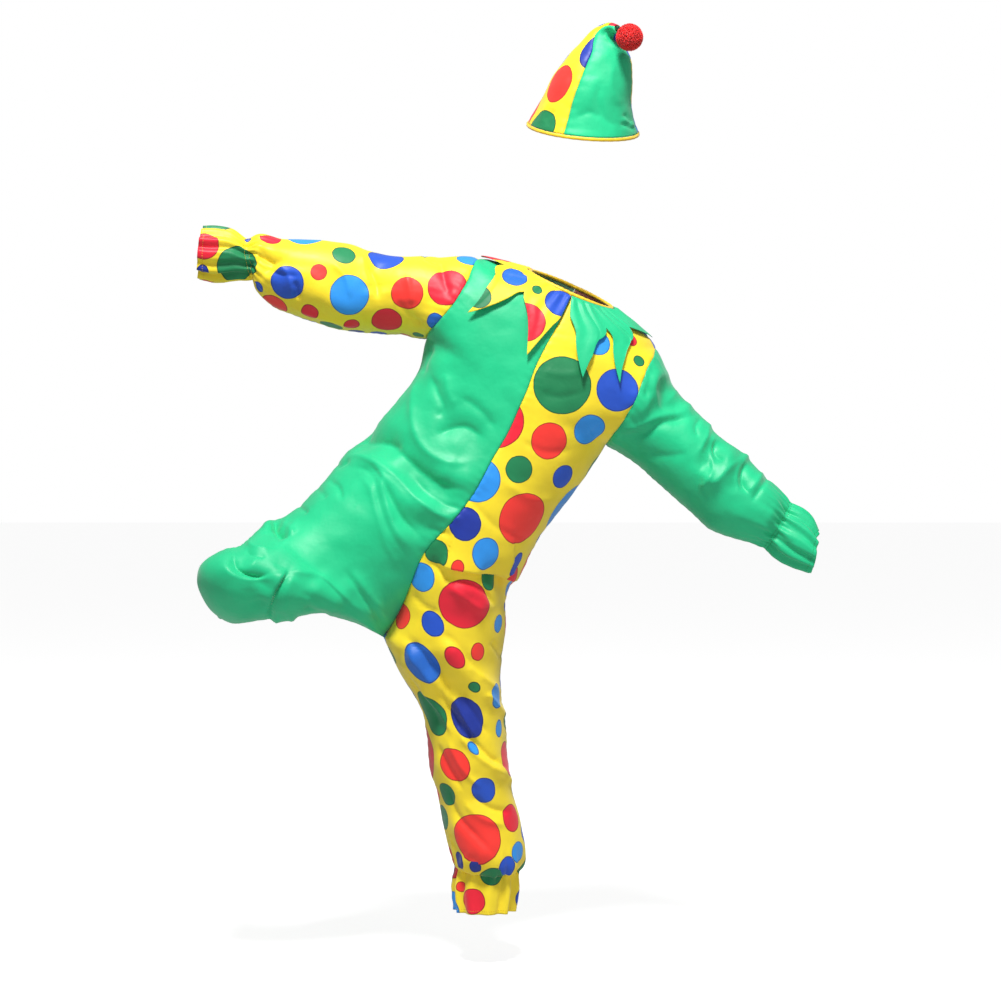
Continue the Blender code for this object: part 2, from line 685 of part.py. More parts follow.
def add_wall(name, outer, normals, slot, collection, frill_from=None, closed=False, wall=CLOTH):
    """A cloth piece from its outer grid: an inner grid one wall inside it, and rims."""
    inner = outer - normals * wall
    split = FRILL_SPLIT if frill_from is not None else 1
    rows = {}
    for layer, grid in (("outer", outer), ("inner", inner)):
        rows[layer] = [
            thinned(row, split) if frill_from is not None and i < frill_from else row
            for i, row in enumerate(grid)
        ]
    mesh = wall_mesh(name, rows["outer"], rows["inner"], closed)
    face_outwards(mesh)
    made = add_object(name, mesh, slot, collection)
    mesh.shade_smooth()
    mesh.set_sharp_from_angle(angle=math.radians(50))
    return made


def build_jumpsuit(collection):
    """The four body panels and the two sleeves. Returns the body's outer grids and normals."""
    folds = table(FOLD_COLUMNS, FOLDS)
    grids, gather_rows, shared_count = jumpsuit_grids()
    normals = settle_normals(grids, shared_count)
    around = np.linspace(0, 0.5, BODY_COLUMNS * FRILL_SPLIT + 1)
    for name, grid in grids.items():
        side = name.split("_")[1]
        raised = fold_height(grid, normals[name], folds)
        raised *= ease(np.arange(len(grid)), SHOULDER_ROWS, SHOULDER_ROWS + 4)[:, None]
        raised += gathers(gather_rows[side], around, LEG_GATHERS)
        grids[name] = grid + normals[name] * raised[..., None]
    normals = settle_normals(grids, shared_count)
    armhole = slice(SHOULDER_ROWS, SHOULDER_ROWS + ARMHOLE_ROWS + 1)
    sleeves = {"right": RIGHT_SLEEVE, "left": LEFT_SLEEVE}
    slots = {"right": ("green", "dotted"), "left": ("dotted", "green")}
    for side, rows_table in sleeves.items():
        front, back = f"front_{side}", f"back_{side}"
        edges = [grids[name][armhole, -1] for name in (front, back)]
        grid, gather, along = sleeve_grid(rows_table, *edges)
        normal = tube_normals(grid)
        turn = np.arange(grid.shape[1]) / grid.shape[1]
        raised = fold_height(grid, normal, folds) * ease(along, 0, FOLD_START)[:, None]
        raised += gathers(gather, turn, SLEEVE_GATHERS)
        grid = grid + normal * raised[..., None]
        normal = tube_normals(grid)
        ring = thinned(normal[0], FRILL_SPLIT)
        mitre_front = unit(normals[front][armhole, -1] + ring[: ARMHOLE_ROWS + 1])
        back_ring = np.concatenate([ring[:1], ring[ARMHOLE_ROWS:][::-1]])
        mitre_back = unit(normals[back][armhole, -1] + back_ring)
        normals[front][armhole, -1] = mitre_front
        normals[back][armhole, -1] = mitre_back
        both = np.concatenate([mitre_front, mitre_back[::-1][1:-1]])
        normal[0] = np.repeat(both, FRILL_SPLIT, axis=0)
        outer = pulled_in(grid, ["top"], SEAM_GAP)
        add_wall(
            f"sleeve_{side}",
            outer,
            normal,
            slots[side][1],
            collection,
            frill_from=len(grid) - FRILL_ROWS,
            closed=True,
        )
    for name, grid in grids.items():
        side = name.split("_")[1]
        outer = pulled_in(grid, ["first", "last"], SEAM_GAP / 2)
        add_wall(
            name,
            outer,
            normals[name],
            slots[side][0],
            collection,
            frill_from=len(grid) - FRILL_ROWS,
        )
    return grids, normals


def body_place(grids, normals, side, place, reach):
    """A point on the body and its normal: place runs 0 at the centre front to 2 at the centre
    back, and reach is the distance down from the neck."""
    panel = "front" if place <= 1 else "back"
    across = place if place <= 1 else 2 - place
    grid, normal = grids[f"{panel}_{side}"], normals[f"{panel}_{side}"]
    column = across * (grid.shape[1] - 1)
    left = min(int(column), grid.shape[1] - 2)
    share = column - left
    line = grid[:, left] * (1 - share) + grid[:, left + 1] * share
    lean = unit(normal[:, left] * (1 - share) + normal[:, left + 1] * share)
    along = np.concatenate([[0], np.cumsum(np.linalg.norm(np.diff(line, axis=0), axis=1))])
    point = np.array([np.interp(reach, along, line[:, k]) for k in range(3)])
    out = np.array([np.interp(reach, along, lean[:, k]) for k in range(3)])
    return point, unit(out)


def build_collar(grids, normals, collection):
    """The two halves of the pointed collar, which lie on the body's own points, moved out."""
    for side, rows, slot in (
        ("right", RIGHT_COLLAR, "dotted"),
        ("left", LEFT_COLLAR, "green"),
    ):
        shape = table(COLLAR_COLUMNS, rows)
        knots = np.clip(shape["neck"], 0.006, 1.994)
        steps = np.linspace(0, 1, COLLAR_POINT_COLUMNS + 1)[:-1]
        places = (knots[:-1, None] + np.diff(knots)[:, None] * steps).ravel()
        places = np.append(places, knots[-1])
        piece = np.clip(np.searchsorted(knots, places, side="right") - 1, 0, len(rows) - 2)
        low, high = knots[piece], knots[piece + 1]
        share = (places - low) / (high - low)
        rising = shape["reach"][piece + 1] > shape["reach"][piece]
        power = shape["bend"][piece]
        bend = np.where(rising, share**power, 1 - (1 - share) ** power)
        reach = shape["reach"][piece] * (1 - bend) + shape["reach"][piece + 1] * bend
        ends = np.clip(np.interp(places, shape["neck"], shape["edge"]), 0.006, 1.994)
        lift = np.interp(places, shape["neck"], shape["lift"])
        outer = np.zeros((COLLAR_ROW_COUNT + 1, len(places), 3))
        out = np.zeros_like(outer)
        for j, neck in enumerate(places):
            wave = math.sin(math.pi * COLLAR_PLEATS * neck)
            for i in range(COLLAR_ROW_COUNT + 1):
                down = i / COLLAR_ROW_COUNT
                place = neck + (ends[j] - neck) * down
                point, normal = body_place(grids, normals, side, place, down * reach[j])
                pleat = COLLAR_PLEAT * (1 + wave) * (1 - down) * ease(down, 0, 0.2)
                clear = COLLAR_CLEAR + CLOTH + pleat + (lift[j] - COLLAR_CLEAR) * down**1.5
                outer[i, j] = point + normal * clear
                out[i, j] = normal
        add_wall(f"collar_{side}", outer, out, slot, collection)


def tube_object(name, line, radius, slot, collection):
    """A closed tube through a ring of points."""
    curve = bpy.data.curves.new(name, "CURVE")
    curve.dimensions = "3D"
    curve.bevel_depth = radius * MM
    curve.bevel_resolution = 2
    spline = curve.splines.new("POLY")
    spline.points.add(len(line) - 1)
    for point, place in zip(spline.points, line):
        point.co = (*(place * MM), 1)
    spline.use_cyclic_u = True
    return add_object(name, curve, slot, collection)


def build_binding(grids, collection):
    """The bound edge of the neck, which sits on the top of the body and the collar."""
    ring = []
    for side, order in (("right", 1), ("left", -1)):
        front = grids[f"front_{side}"]
        back = grids[f"back_{side}"]
        half = np.concatenate([front[:, :], back[:, ::-1][:, 1:]], axis=1)[:2]
        ring.append(half[:, ::order])
    loop = np.concatenate([ring[0][:, :-1], ring[1][:, :-1]], axis=1)
    edge, below = loop
    up = unit(edge - below)
    centre = edge + up * (BINDING_RADIUS + BINDING_CLEAR)
    closed = np.concatenate([centre, centre[:1]])
    along = np.concatenate([[0], np.cumsum(np.linalg.norm(np.diff(closed, axis=0), axis=1))])
    at = np.linspace(0, along[-1], BINDING_POINTS + 1)[:-1]
    line = np.stack([np.interp(at, along, closed[:, k]) for k in range(3)], axis=-1)
    tube_object("neck_binding", line, BINDING_RADIUS, "yellow", collection)


def hat_rings(stations, angles):
    """Rings of the hat, which turn and lean with its axis; angle 0 faces forwards."""
    rows = read(table(HAT_COLUMNS, HAT), stations)
    turn, lean = np.radians(rows["turn"]), np.radians(rows["lean"])
    sine, cosine = np.sin(turn), np.cos(turn)
    side = np.stack([cosine, np.zeros(len(stations)), -sine], axis=-1)
    front = np.stack([-sine * np.sin(lean), -np.cos(lean), -cosine * np.sin(lean)], axis=-1)
    middle = np.stack([rows["x"], rows["y"], rows["z"]], axis=-1)
    swing = np.sin(angles)[None, :, None] * (side * rows["wide"][:, None])[:, None]
    deep = np.cos(angles)[None, :, None] * (front * rows["deep"][:, None])[:, None]
    return middle[:, None] + swing + deep


def build_hat(collection):
    """Four gores, alternately dotted and green, a bound brim and a pompom on the tip."""
    last = len(HAT) - 1
    stations = spread(lambda s: hat_rings(s, np.zeros(1))[:, 0], 0, last, GORE_ROWS)
    count = HAT_GORES * GORE_COLUMNS
    angles = HAT_FIRST_SEAM + np.linspace(0, 2 * np.pi, count + 1)[:-1]
    grid = hat_rings(stations, angles)
    normal = tube_normals(grid)
    for gore in range(HAT_GORES):
        columns = np.arange(gore * GORE_COLUMNS, (gore + 1) * GORE_COLUMNS + 1) % count
        outer = pulled_in(grid[:, columns], ["first", "last"], SEAM_GAP / 2)
        slot = "green" if gore % 2 == 0 else "dotted"
        add_wall(f"hat_gore_{gore + 1}", outer, normal[:, columns], slot, collection)
    brim_angles = np.linspace(0, 2 * np.pi, HAT_BAND_POINTS + 1)[:-1]
    brim = hat_rings(np.array([0.0, 0.2]), brim_angles)
    down = unit(brim[0] - brim[1])
    inwards = unit(brim[0].mean(axis=0) - brim[0])
    line = brim[0] + down * (HAT_BAND_RADIUS + SEAM_GAP + 0.2) + inwards * CLOTH / 2
    tube_object("hat_band", line, HAT_BAND_RADIUS, "yellow", collection)


def build_pompom(collection):
    """A ball of short four-sided locks round a core, bare where it is sewn to the hat's tip."""
    tip = np.array(HAT[-1][:3], float)
    towards_tip = unit(tip - POMPOM_CENTRE)
    steps = np.linspace(0, np.pi, POMPOM_RINGS + 1)[1:-1]
    turns = np.linspace(0, 2 * np.pi, POMPOM_SEGMENTS + 1)[:-1]
    verts = [np.array([0.0, 0.0, POMPOM_CORE])]
    for step in steps:
        for turn in turns:
            ring = math.sin(step)
            direction = np.array([ring * math.cos(turn), ring * math.sin(turn), math.cos(step)])
            bare = np.linalg.norm(direction - towards_tip) * POMPOM_CORE < POMPOM_BARE
            verts.append((POMPOM_CORE + POMPOM_NECK * bare) * direction)
    verts.append(np.array([0.0, 0.0, -POMPOM_CORE]))
    rings = [
        [1 + r * POMPOM_SEGMENTS + k for k in range(POMPOM_SEGMENTS)] for r in range(len(steps))
    ]
    patches = []
    for k in range(POMPOM_SEGMENTS):
        beside = (k + 1) % POMPOM_SEGMENTS
        patches.append((0, rings[0][k], rings[0][beside]))
        patches.append((len(verts) - 1, rings[-1][beside], rings[-1][k]))
        for upper, lower in zip(rings, rings[1:]):
            patches.append((upper[k], lower[k], lower[beside], upper[beside]))
    faces = []
    for patch in patches:
        middle = sum(verts[i] for i in patch) / len(patch)
        close = np.linalg.norm(middle - towards_tip * POMPOM_CORE) < POMPOM_BARE
        if close or len(patch) == 3:
            faces.append(patch)
            continue
        verts.append(unit(middle) * POMPOM_REACH)
        peak = len(verts) - 1
        for a, b in zip(patch, patch[1:] + patch[:1]):
            faces.append((a, b, peak))
    mesh = bpy.data.meshes.new("pompom")
    mesh.from_pydata([tuple((POMPOM_CENTRE + v) * MM) for v in verts], [], faces)
    mesh.update()
    face_outwards(mesh)
    add_object("pompom", mesh, "red", collection)


def main():
    for old in list(bpy.data.objects):
        bpy.data.objects.remove(old)
    collection = bpy.data.collections.new("clown_costume")
    bpy.context.scene.collection.children.link(collection)
    grids, normals = build_jumpsuit(collection)
    build_collar(grids, normals, collection)
    build_binding(grids, collection)
    build_hat(collection)
    build_pompom(collection)


main()
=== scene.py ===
"""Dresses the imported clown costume: satin cloth with its creases, elastic gathers, dots and seams.

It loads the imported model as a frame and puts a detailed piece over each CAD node, in the same place.
The sizes in the tables are millimetres and the finished pieces are in metres. X runs to the wearer's
left, -Y is the front and +Z is up.
"""

import math

import bpy
import numpy as np
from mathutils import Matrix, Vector


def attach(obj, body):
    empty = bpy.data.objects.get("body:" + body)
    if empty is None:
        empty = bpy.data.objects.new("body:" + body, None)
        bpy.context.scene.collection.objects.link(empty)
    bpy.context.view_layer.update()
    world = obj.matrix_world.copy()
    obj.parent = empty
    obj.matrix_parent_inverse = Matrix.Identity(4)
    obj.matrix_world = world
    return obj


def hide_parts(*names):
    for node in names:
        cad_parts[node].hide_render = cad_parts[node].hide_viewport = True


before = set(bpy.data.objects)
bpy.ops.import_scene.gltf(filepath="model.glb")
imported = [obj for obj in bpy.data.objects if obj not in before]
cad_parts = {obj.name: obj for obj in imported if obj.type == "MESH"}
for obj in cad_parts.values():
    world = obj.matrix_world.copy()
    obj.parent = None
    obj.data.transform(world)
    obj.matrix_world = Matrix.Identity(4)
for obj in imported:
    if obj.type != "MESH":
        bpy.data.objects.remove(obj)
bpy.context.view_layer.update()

MM = 0.001

# How thick the drawn cloth is, and how far each piece draws back from its seams.
WALL = 0.8
SEAM_GAP = 0.1

# How finely each piece is modelled.
BODY_COLUMNS = 98
NECK_ROWS = 16
ARMHOLE_ROWS = 46
TORSO_ROWS = 124
LEG_ROWS = 150
SLEEVE_ROWS = 165
SLEEVE_TURNS = 160
COLLAR_POINT_COLUMNS = 18
COLLAR_ROW_COUNT = 34
GORE_COLUMNS = 34
GORE_ROWS = 74

ROUND_POWER = 2 / 2.15
ARMHOLE_ANGLE = math.radians(52)
TORSO_UP = np.array([0.39, 0.0, 0.92])
FRONT = np.array([0.0, -1.0, 0.0])

# The camera stands level in front of the costume. The picture is 1001 wide, each unit of it is
# 1.4 mm at the neck, and the neck's centre is at NECK_AT.
CAMERA_AT = np.array([-87.5, -3000.0, -297.5])
UNIT = 1.4
NECK_AT = (563.0, 288.0)
PICTURE_WIDTH = 1001

# Rows of the torso, from the neck to the hips. mid is the middle of the ring, front and back are
# its half depths, and right and left are the side seams (or the armhole edges).
TORSO_COLUMNS = "mid_x mid_z mid_y front back right_x right_z left_x left_z tilt"
TORSO = [
    (14, -7, 0, 58, 56, -50, 25, 71, -30, 11),
    (3, -31, 0, 72, 69, -84, 35, 103, -55, 9),
    (-9, -55, 0, 82, 80, -116, 41, 129, -84, 7),
    (-24, -83, 0, 88, 86, -132, 7, 115, -113, 5),
    (-39, -114, 0, 93, 90, -150, -24, 101, -147, 3),
    (-50, -145, 0, 96, 92, -171, -50, 83, -183, 1),
    (-62, -172, 0, 98, 93, -190, -71, 60, -220, 0),
    (-77, -206, 0, 100, 94, -200, -118, 38, -255, 0),
    (-98, -241, 0, 103, 95, -224, -148, 3, -303, 0),
    (-122, -286, 0, 107, 97, -267, -196, -36, -354, 0),
    (-149, -322, 0, 110, 100, -308, -235, -59, -399, 0),
]
SHOULDER_ROW = 2
UNDERARM_ROW = 6

# Rows that fan round the crotch. seam_front and seam_back are half the gap between the centre
# front and centre back seams, which close at the last row.
CROTCH_COLUMNS = (
    "mid_x mid_z mid_y seam_front seam_back right_x right_z right_y right_front right_back "
    "left_x left_z left_y left_front left_back"
)
CROTCH = [
    (-173, -348, 0, 106, 97, -332, -269, -12, 108, 99, -78, -426, 0, 107, 98),
    (-194, -373, 0, 96, 90, -352, -293, -20, 105, 97, -83, -448, 0, 101, 94),
    (-210, -413, -2, 78, 74, -368, -307, -28, 101, 94, -81, -475, 0, 94, 90),
    (-223, -444, -6, 56, 53, -381, -315, -36, 97, 92, -83, -497, 0, 88, 85),
    (-238, -470, -11, 30, 28, -394, -319, -44, 95, 89, -85, -514, 0, 84, 82),
    (-250, -487, -18, 0, 0, -403, -322, -52, 93, 86, -87, -531, 0, 80, 78),
]

# Rows of a leg, from the crotch to the hem. inner is the inseam, outer is the side seam, turn is
# how far the row's front faces to the wearer's right, in degrees, and gather is the depth of the
# elastic's pleats.
LEG_COLUMNS = "inner_x inner_z inner_y outer_x outer_z outer_y front back turn gather"
LEFT_LEG = [
    (-241, -510, -11, -88, -556, 0, 77, 77, 0, 0),
    (-224, -542, -4, -88, -577, 0, 74, 74, 0, 0),
    (-210, -568, 0, -85, -596, 0, 71, 71, 0, 0),
    (-192, -619, 2, -81, -630, 2, 66, 66, 0, 0),
    (-188, -664, 4, -77, -677, 4, 63, 63, 0, 0),
    (-175, -704, 6, -69, -713, 6, 61, 61, 0, 0),
    (-170, -740, 8, -59, -749, 8, 60, 60, 0, 0),
    (-164, -771, 9, -53, -781, 9, 60, 60, 0, 0),
    (-156, -797, 10, -53, -804, 10, 57, 57, 0, 0.4),
    (-149, -812, 10, -64, -815, 10, 42, 42, 0, 2.2),
    (-154, -833, 10, -63, -836, 10, 46, 46, 0, 2.6),
    (-150, -871, 10, -69, -871, 10, 47, 47, 0, 3.4),
]
RIGHT_LEG = [
    (-274, -473, -33, -414, -330, -64, 89, 86, -4, 0),
    (-298, -462, -50, -425, -343, -80, 85, 80, -7, 0),
    (-325, -456, -68, -435, -352, -95, 80, 74, -8, 0),
    (-355, -455, -85, -444, -358, -106, 75, 68, -6, 0),
    (-382, -458, -95, -455, -361, -111, 70, 62, 0, 0),
    (-405, -460, -99, -463, -365, -112, 63, 54, 9, 0),
    (-428, -463, -96, -475, -373, -106, 52, 44, 28, 0),
    (-444, -465, -80, -480, -383, -86, 39, 36, 54, 0),
    (-450, -466, -55, -479, -388, -58, 31, 34, 74, 0),
    (-456, -468, -22, -477, -390, -24, 29, 40, 84, 0),
    (-462, -468, 15, -478, -394, 14, 29, 50, 88, 0.4),
    (-470, -460, 34, -480, -404, 34, 28, 31, 90, 2.2),
    (-470, -466, 56, -478, -398, 56, 33, 34, 90, 2.6),
    (-470, -470, 95, -478, -396, 95, 37, 37, 90, 3.2),
]

# Rows of a sleeve, from the armhole to the cuff's edge.
SLEEVE_COLUMNS = "top_x top_z under_x under_z mid_y depth gather"
RIGHT_SLEEVE = [
    (-116, 41, -190, -71, 0, 66, 0),
    (-144, 43, -210, -69, 0, 63, 0),
    (-171, 42, -228, -65, -2, 61, 0),
    (-197, 44, -246, -65, -4, 59, 0),
    (-224, 43, -267, -63, -6, 57, 0),
    (-270, 51, -306, -60, -10, 56, 0),
    (-297, 59, -340, -51, -13, 55, 0),
    (-339, 64, -381, -38, -17, 52, 0),
    (-388, 65, -407, -26, -21, 46, 0),
    (-419, 71, -424, -8, -24, 41, 0.4),
    (-439, 64, -432, 10, -26, 29, 2.2),
    (-461, 76, -453, 10, -28, 33, 2.4),
    (-484, 79, -480, 7, -31, 35, 2.8),
    (-499, 78, -505, 12, -33, 35, 3.2),
]
LEFT_SLEEVE = [
    (129, -84, 60, -220, 0, 66, 0),
    (141, -109, 76, -228, 0, 64, 0),
    (154, -135, 92, -239, -2, 62, 0),
    (168, -154, 110, -253, -4, 60, 0),
    (192, -178, 132, -273, -8, 58, 0),
    (212, -203, 156, -294, -12, 57, 0),
    (233, -222, 179, -316, -16, 56, 0),
    (255, -238, 204, -339, -20, 54, 0),
    (278, -263, 235, -350, -24, 48, 0),
    (299, -284, 261, -356, -27, 42, 0.4),
    (314, -302, 279, -363, -29, 29, 2.2),
    (330, -311, 294, -376, -31, 33, 2.4),
    (342, -324, 319, -388, -33, 35, 2.8),
    (349, -341, 342, -395, -35, 33, 3.2),
]

# The largest folds, seen from the front or the back: three points of each fold's line, its half
# width, and its height, which is negative for a hollow. side is 1 at the front and -1 at the back.
FOLD_COLUMNS = "side x0 z0 x1 z1 x2 z2 width height"
FOLDS = [
    (1, -178, -90, -176, -130, -178, -178, 24, 4),
    (1, -180, -255, -150, -272, -112, -268, 21, 8.5),
    (1, -228, -232, -190, -278, -132, -292, 21, -9.5),
    (1, -300, -208, -262, -212, -220, -224, 18, -11),
    (1, -262, -245, -222, -292, -158, -320, 20, 9.5),
    (1, -258, -268, -222, -318, -165, -342, 20, -8.5),
    (1, -182, -195, -140, -200, -105, -228, 21, -6),
    (1, -268, -250, -240, -310, -205, -378, 17, 6),
    (1, -388, -392, -412, -425, -405, -452, 21, -12),
    (1, -440, -352, -426, -394, -385, -392, 18, -9.5),
    (1, -346, -405, -322, -425, -298, -445, 21, 7),
    (1, -300, -395, -275, -428, -254, -462, 18, 7),
    (1, -404, -322, -392, -335, -372, -342, 17, -9.5),
    (1, -218, -500, -196, -532, -170, -568, 20, 8.5),
    (1, -196, -500, -164, -546, -118, -588, 20, -8.5),
    (1, -172, -482, -142, -522, -84, -590, 18, 7),
    (1, -190, -568, -152, -612, -112, -660, 20, -9.5),
    (1, -166, -600, -122, -648, -82, -690, 18, 8.5),
    (1, -122, -392, -92, -396, -68, -412, 15, -11),
    (1, -158, -412, -124, -420, -94, -452, 18, 8.5),
    (1, -150, -720, -122, -770, -98, -792, 20, 7),
    (1, -426, 48, -408, 28, -396, 14, 17, -9.5),
    (1, -264, 40, -258, 10, -256, -16, 21, -7),
    (1, -360, -2, -318, -26, -272, -44, 18, 7),
    (1, 132, -120, 140, -165, 178, -172, 20, -11),
    (1, 126, -108, 118, -150, 84, -182, 20, 8.5),
    (1, 182, -262, 204, -266, 246, -222, 18, 9.5),
    (1, 206, -210, 206, -240, 190, -268, 17, -8.5),
    (1, 244, -230, 240, -262, 244, -290, 17, -7),
    (-1, -190, -110, -150, -170, -90, -215, 24, 7),
    (-1, 20, -150, -20, -210, -80, -245, 22, 7),
    (-1, -230, -190, -160, -230, -90, -300, 22, -8.5),
    (-1, -270, -235, -200, -275, -130, -330, 21, 9.5),
    (-1, -310, -262, -240, -312, -170, -372, 20, -9.5),
    (-1, -60, -300, -100, -345, -160, -370, 21, -8.5),
    (-1, -345, -300, -300, -360, -235, -430, 20, 7),
    (-1, -300, -440, -350, -420, -400, -380, 20, -8.5),
    (-1, -90, -440, -130, -490, -190, -520, 21, 8.5),
    (-1, -95, -500, -140, -550, -200, -590, 20, -8.5),
    (-1, -85, -600, -120, -650, -180, -690, 20, 8.5),
    (-1, -70, -690, -110, -720, -160, -780, 20, -7),
    (-1, -230, 20, -280, 0, -330, 10, 20, -7),
    (-1, -210, -20, -270, -30, -350, -10, 20, 7),
    (-1, 130, -140, 165, -190, 200, -220, 20, 8.5),
    (-1, 110, -190, 160, -245, 215, -290, 20, -7),
]

# The collar has five points on each half. Each row is a line down a point or a valley: where it
# leaves the neck and where it ends (0 at the centre front, 2 at the centre back), how far down
# the body it runs, how far its end stands off the cloth, and how bent the edge after it is.
COLLAR_COLUMNS = "neck edge reach lift bend"
RIGHT_COLLAR = [
    (0.0, 0.0, 42, 3, 1.0),
    (0.18, 0.1, 112, 6, 1.0),
    (0.32, 0.3, 42, 3.5, 1.0),
    (0.4, 0.78, 158, 7, 1.0),
    (0.43, 0.71, 106, 5.5, 1.0),
    (0.47, 0.62, 70, 4.5, 1.0),
    (0.62, 0.66, 40, 3.5, 1.0),
    (1.0, 1.04, 74, 2.2, 1.0),
    (1.24, 1.24, 34, 3.5, 1.0),
    (1.44, 1.45, 98, 6, 1.0),
    (1.62, 1.62, 38, 3, 1.0),
    (1.8, 1.82, 106, 6, 1.0),
    (2.0, 2.0, 36, 3, 1.0),
]
LEFT_COLLAR = [
    (0.0, 0.04, 34, 3, 1.0),
    (0.1, 0.4, 134, 6, 1.1),
    (0.125, 0.385, 98, 5, 1.0),
    (0.18, 0.315, 65, 4, 1.0),
    (0.26, 0.33, 42, 3.5, 1.0),
    (0.33, 0.76, 158, 6, 1.0),
    (0.355, 0.68, 114, 5, 1.0),
    (0.39, 0.555, 67, 4, 1.0),
    (0.54, 0.59, 43, 3.5, 1.0),
    (0.94, 0.98, 66, 2.2, 1.0),
    (1.12, 1.12, 38, 3.5, 1.0),
    (1.34, 1.34, 98, 6, 1.0),
    (1.56, 1.56, 38, 3, 1.0),
    (1.78, 1.8, 110, 6, 1.0),
    (2.0, 2.0, 36, 3, 1.0),
]

# Rows of the hat, from its brim to its tip: the ring's middle, its half width and half depth, and
# how far its axis turns to the wearer's left and leans forward, in degrees.
HAT_COLUMNS = "x y z wide deep turn lean"
HAT = [
    (28, -10, 224, 77, 77, 5, 20),
    (33, -20, 258, 63, 62, 4, 18),
    (41, -28, 286, 55, 52, 4, 16),
    (50, -34, 315, 43, 38, 6, 14),
    (56, -38, 332, 32, 24, 12, 16),
    (59, -44, 347, 18, 14, 26, 26),
    (66, -54, 352, 11, 10, 46, 36),
    (74, -64, 347, 8, 8, 74, 42),
]
HAT_GORES = 4
HAT_SEAMS = np.radians([-21, 81, 159, 249, 339])
HAT_TIP_TWIST = math.radians(-24)

# The collar's halves stop just short of the centre front and the centre back.
COLLAR_ENDS = (0.003, 1.997)
COLLAR_CLEAR = 1.5
COLLAR_REACH_ROWS = 110
COLLAR_PLEATS = 20
COLLAR_PLEAT = 1.2

BINDING_RADIUS = 2.8
BINDING_CLEAR = 0.9
HAT_BAND_RADIUS = 2.5
TUBE_POINTS = 320
TUBE_SIDES = 12

POMPOM_CENTRE = np.array([88.3, -80.0, 333.7])
POMPOM_CORE = 15.2
POMPOM_REACH = 18.9
POMPOM_STRANDS = 4200

LEG_GATHERS = 11
SLEEVE_GATHERS = 11
SLEEVE_BLEND = 75
FOLD_START = 25
FINE_PLEATS = 26
SMOOTHING_PASSES = 14

# How round a crease's crest is and how fast it fades, as shares of its half width.
CREST = 0.36
CREASE_FADE = 0.66

# A stitch: its spacing and length, its thread's half width, how far it stands out of the cloth and
# sinks into it, and how far from each end it comes out.
STITCH_STEP = 3.4
STITCH_LENGTH = 2.3
THREAD_HALF = 0.28
THREAD_RISE = 0.32
THREAD_SINK = 0.25
THREAD_SLOPE = 0.5

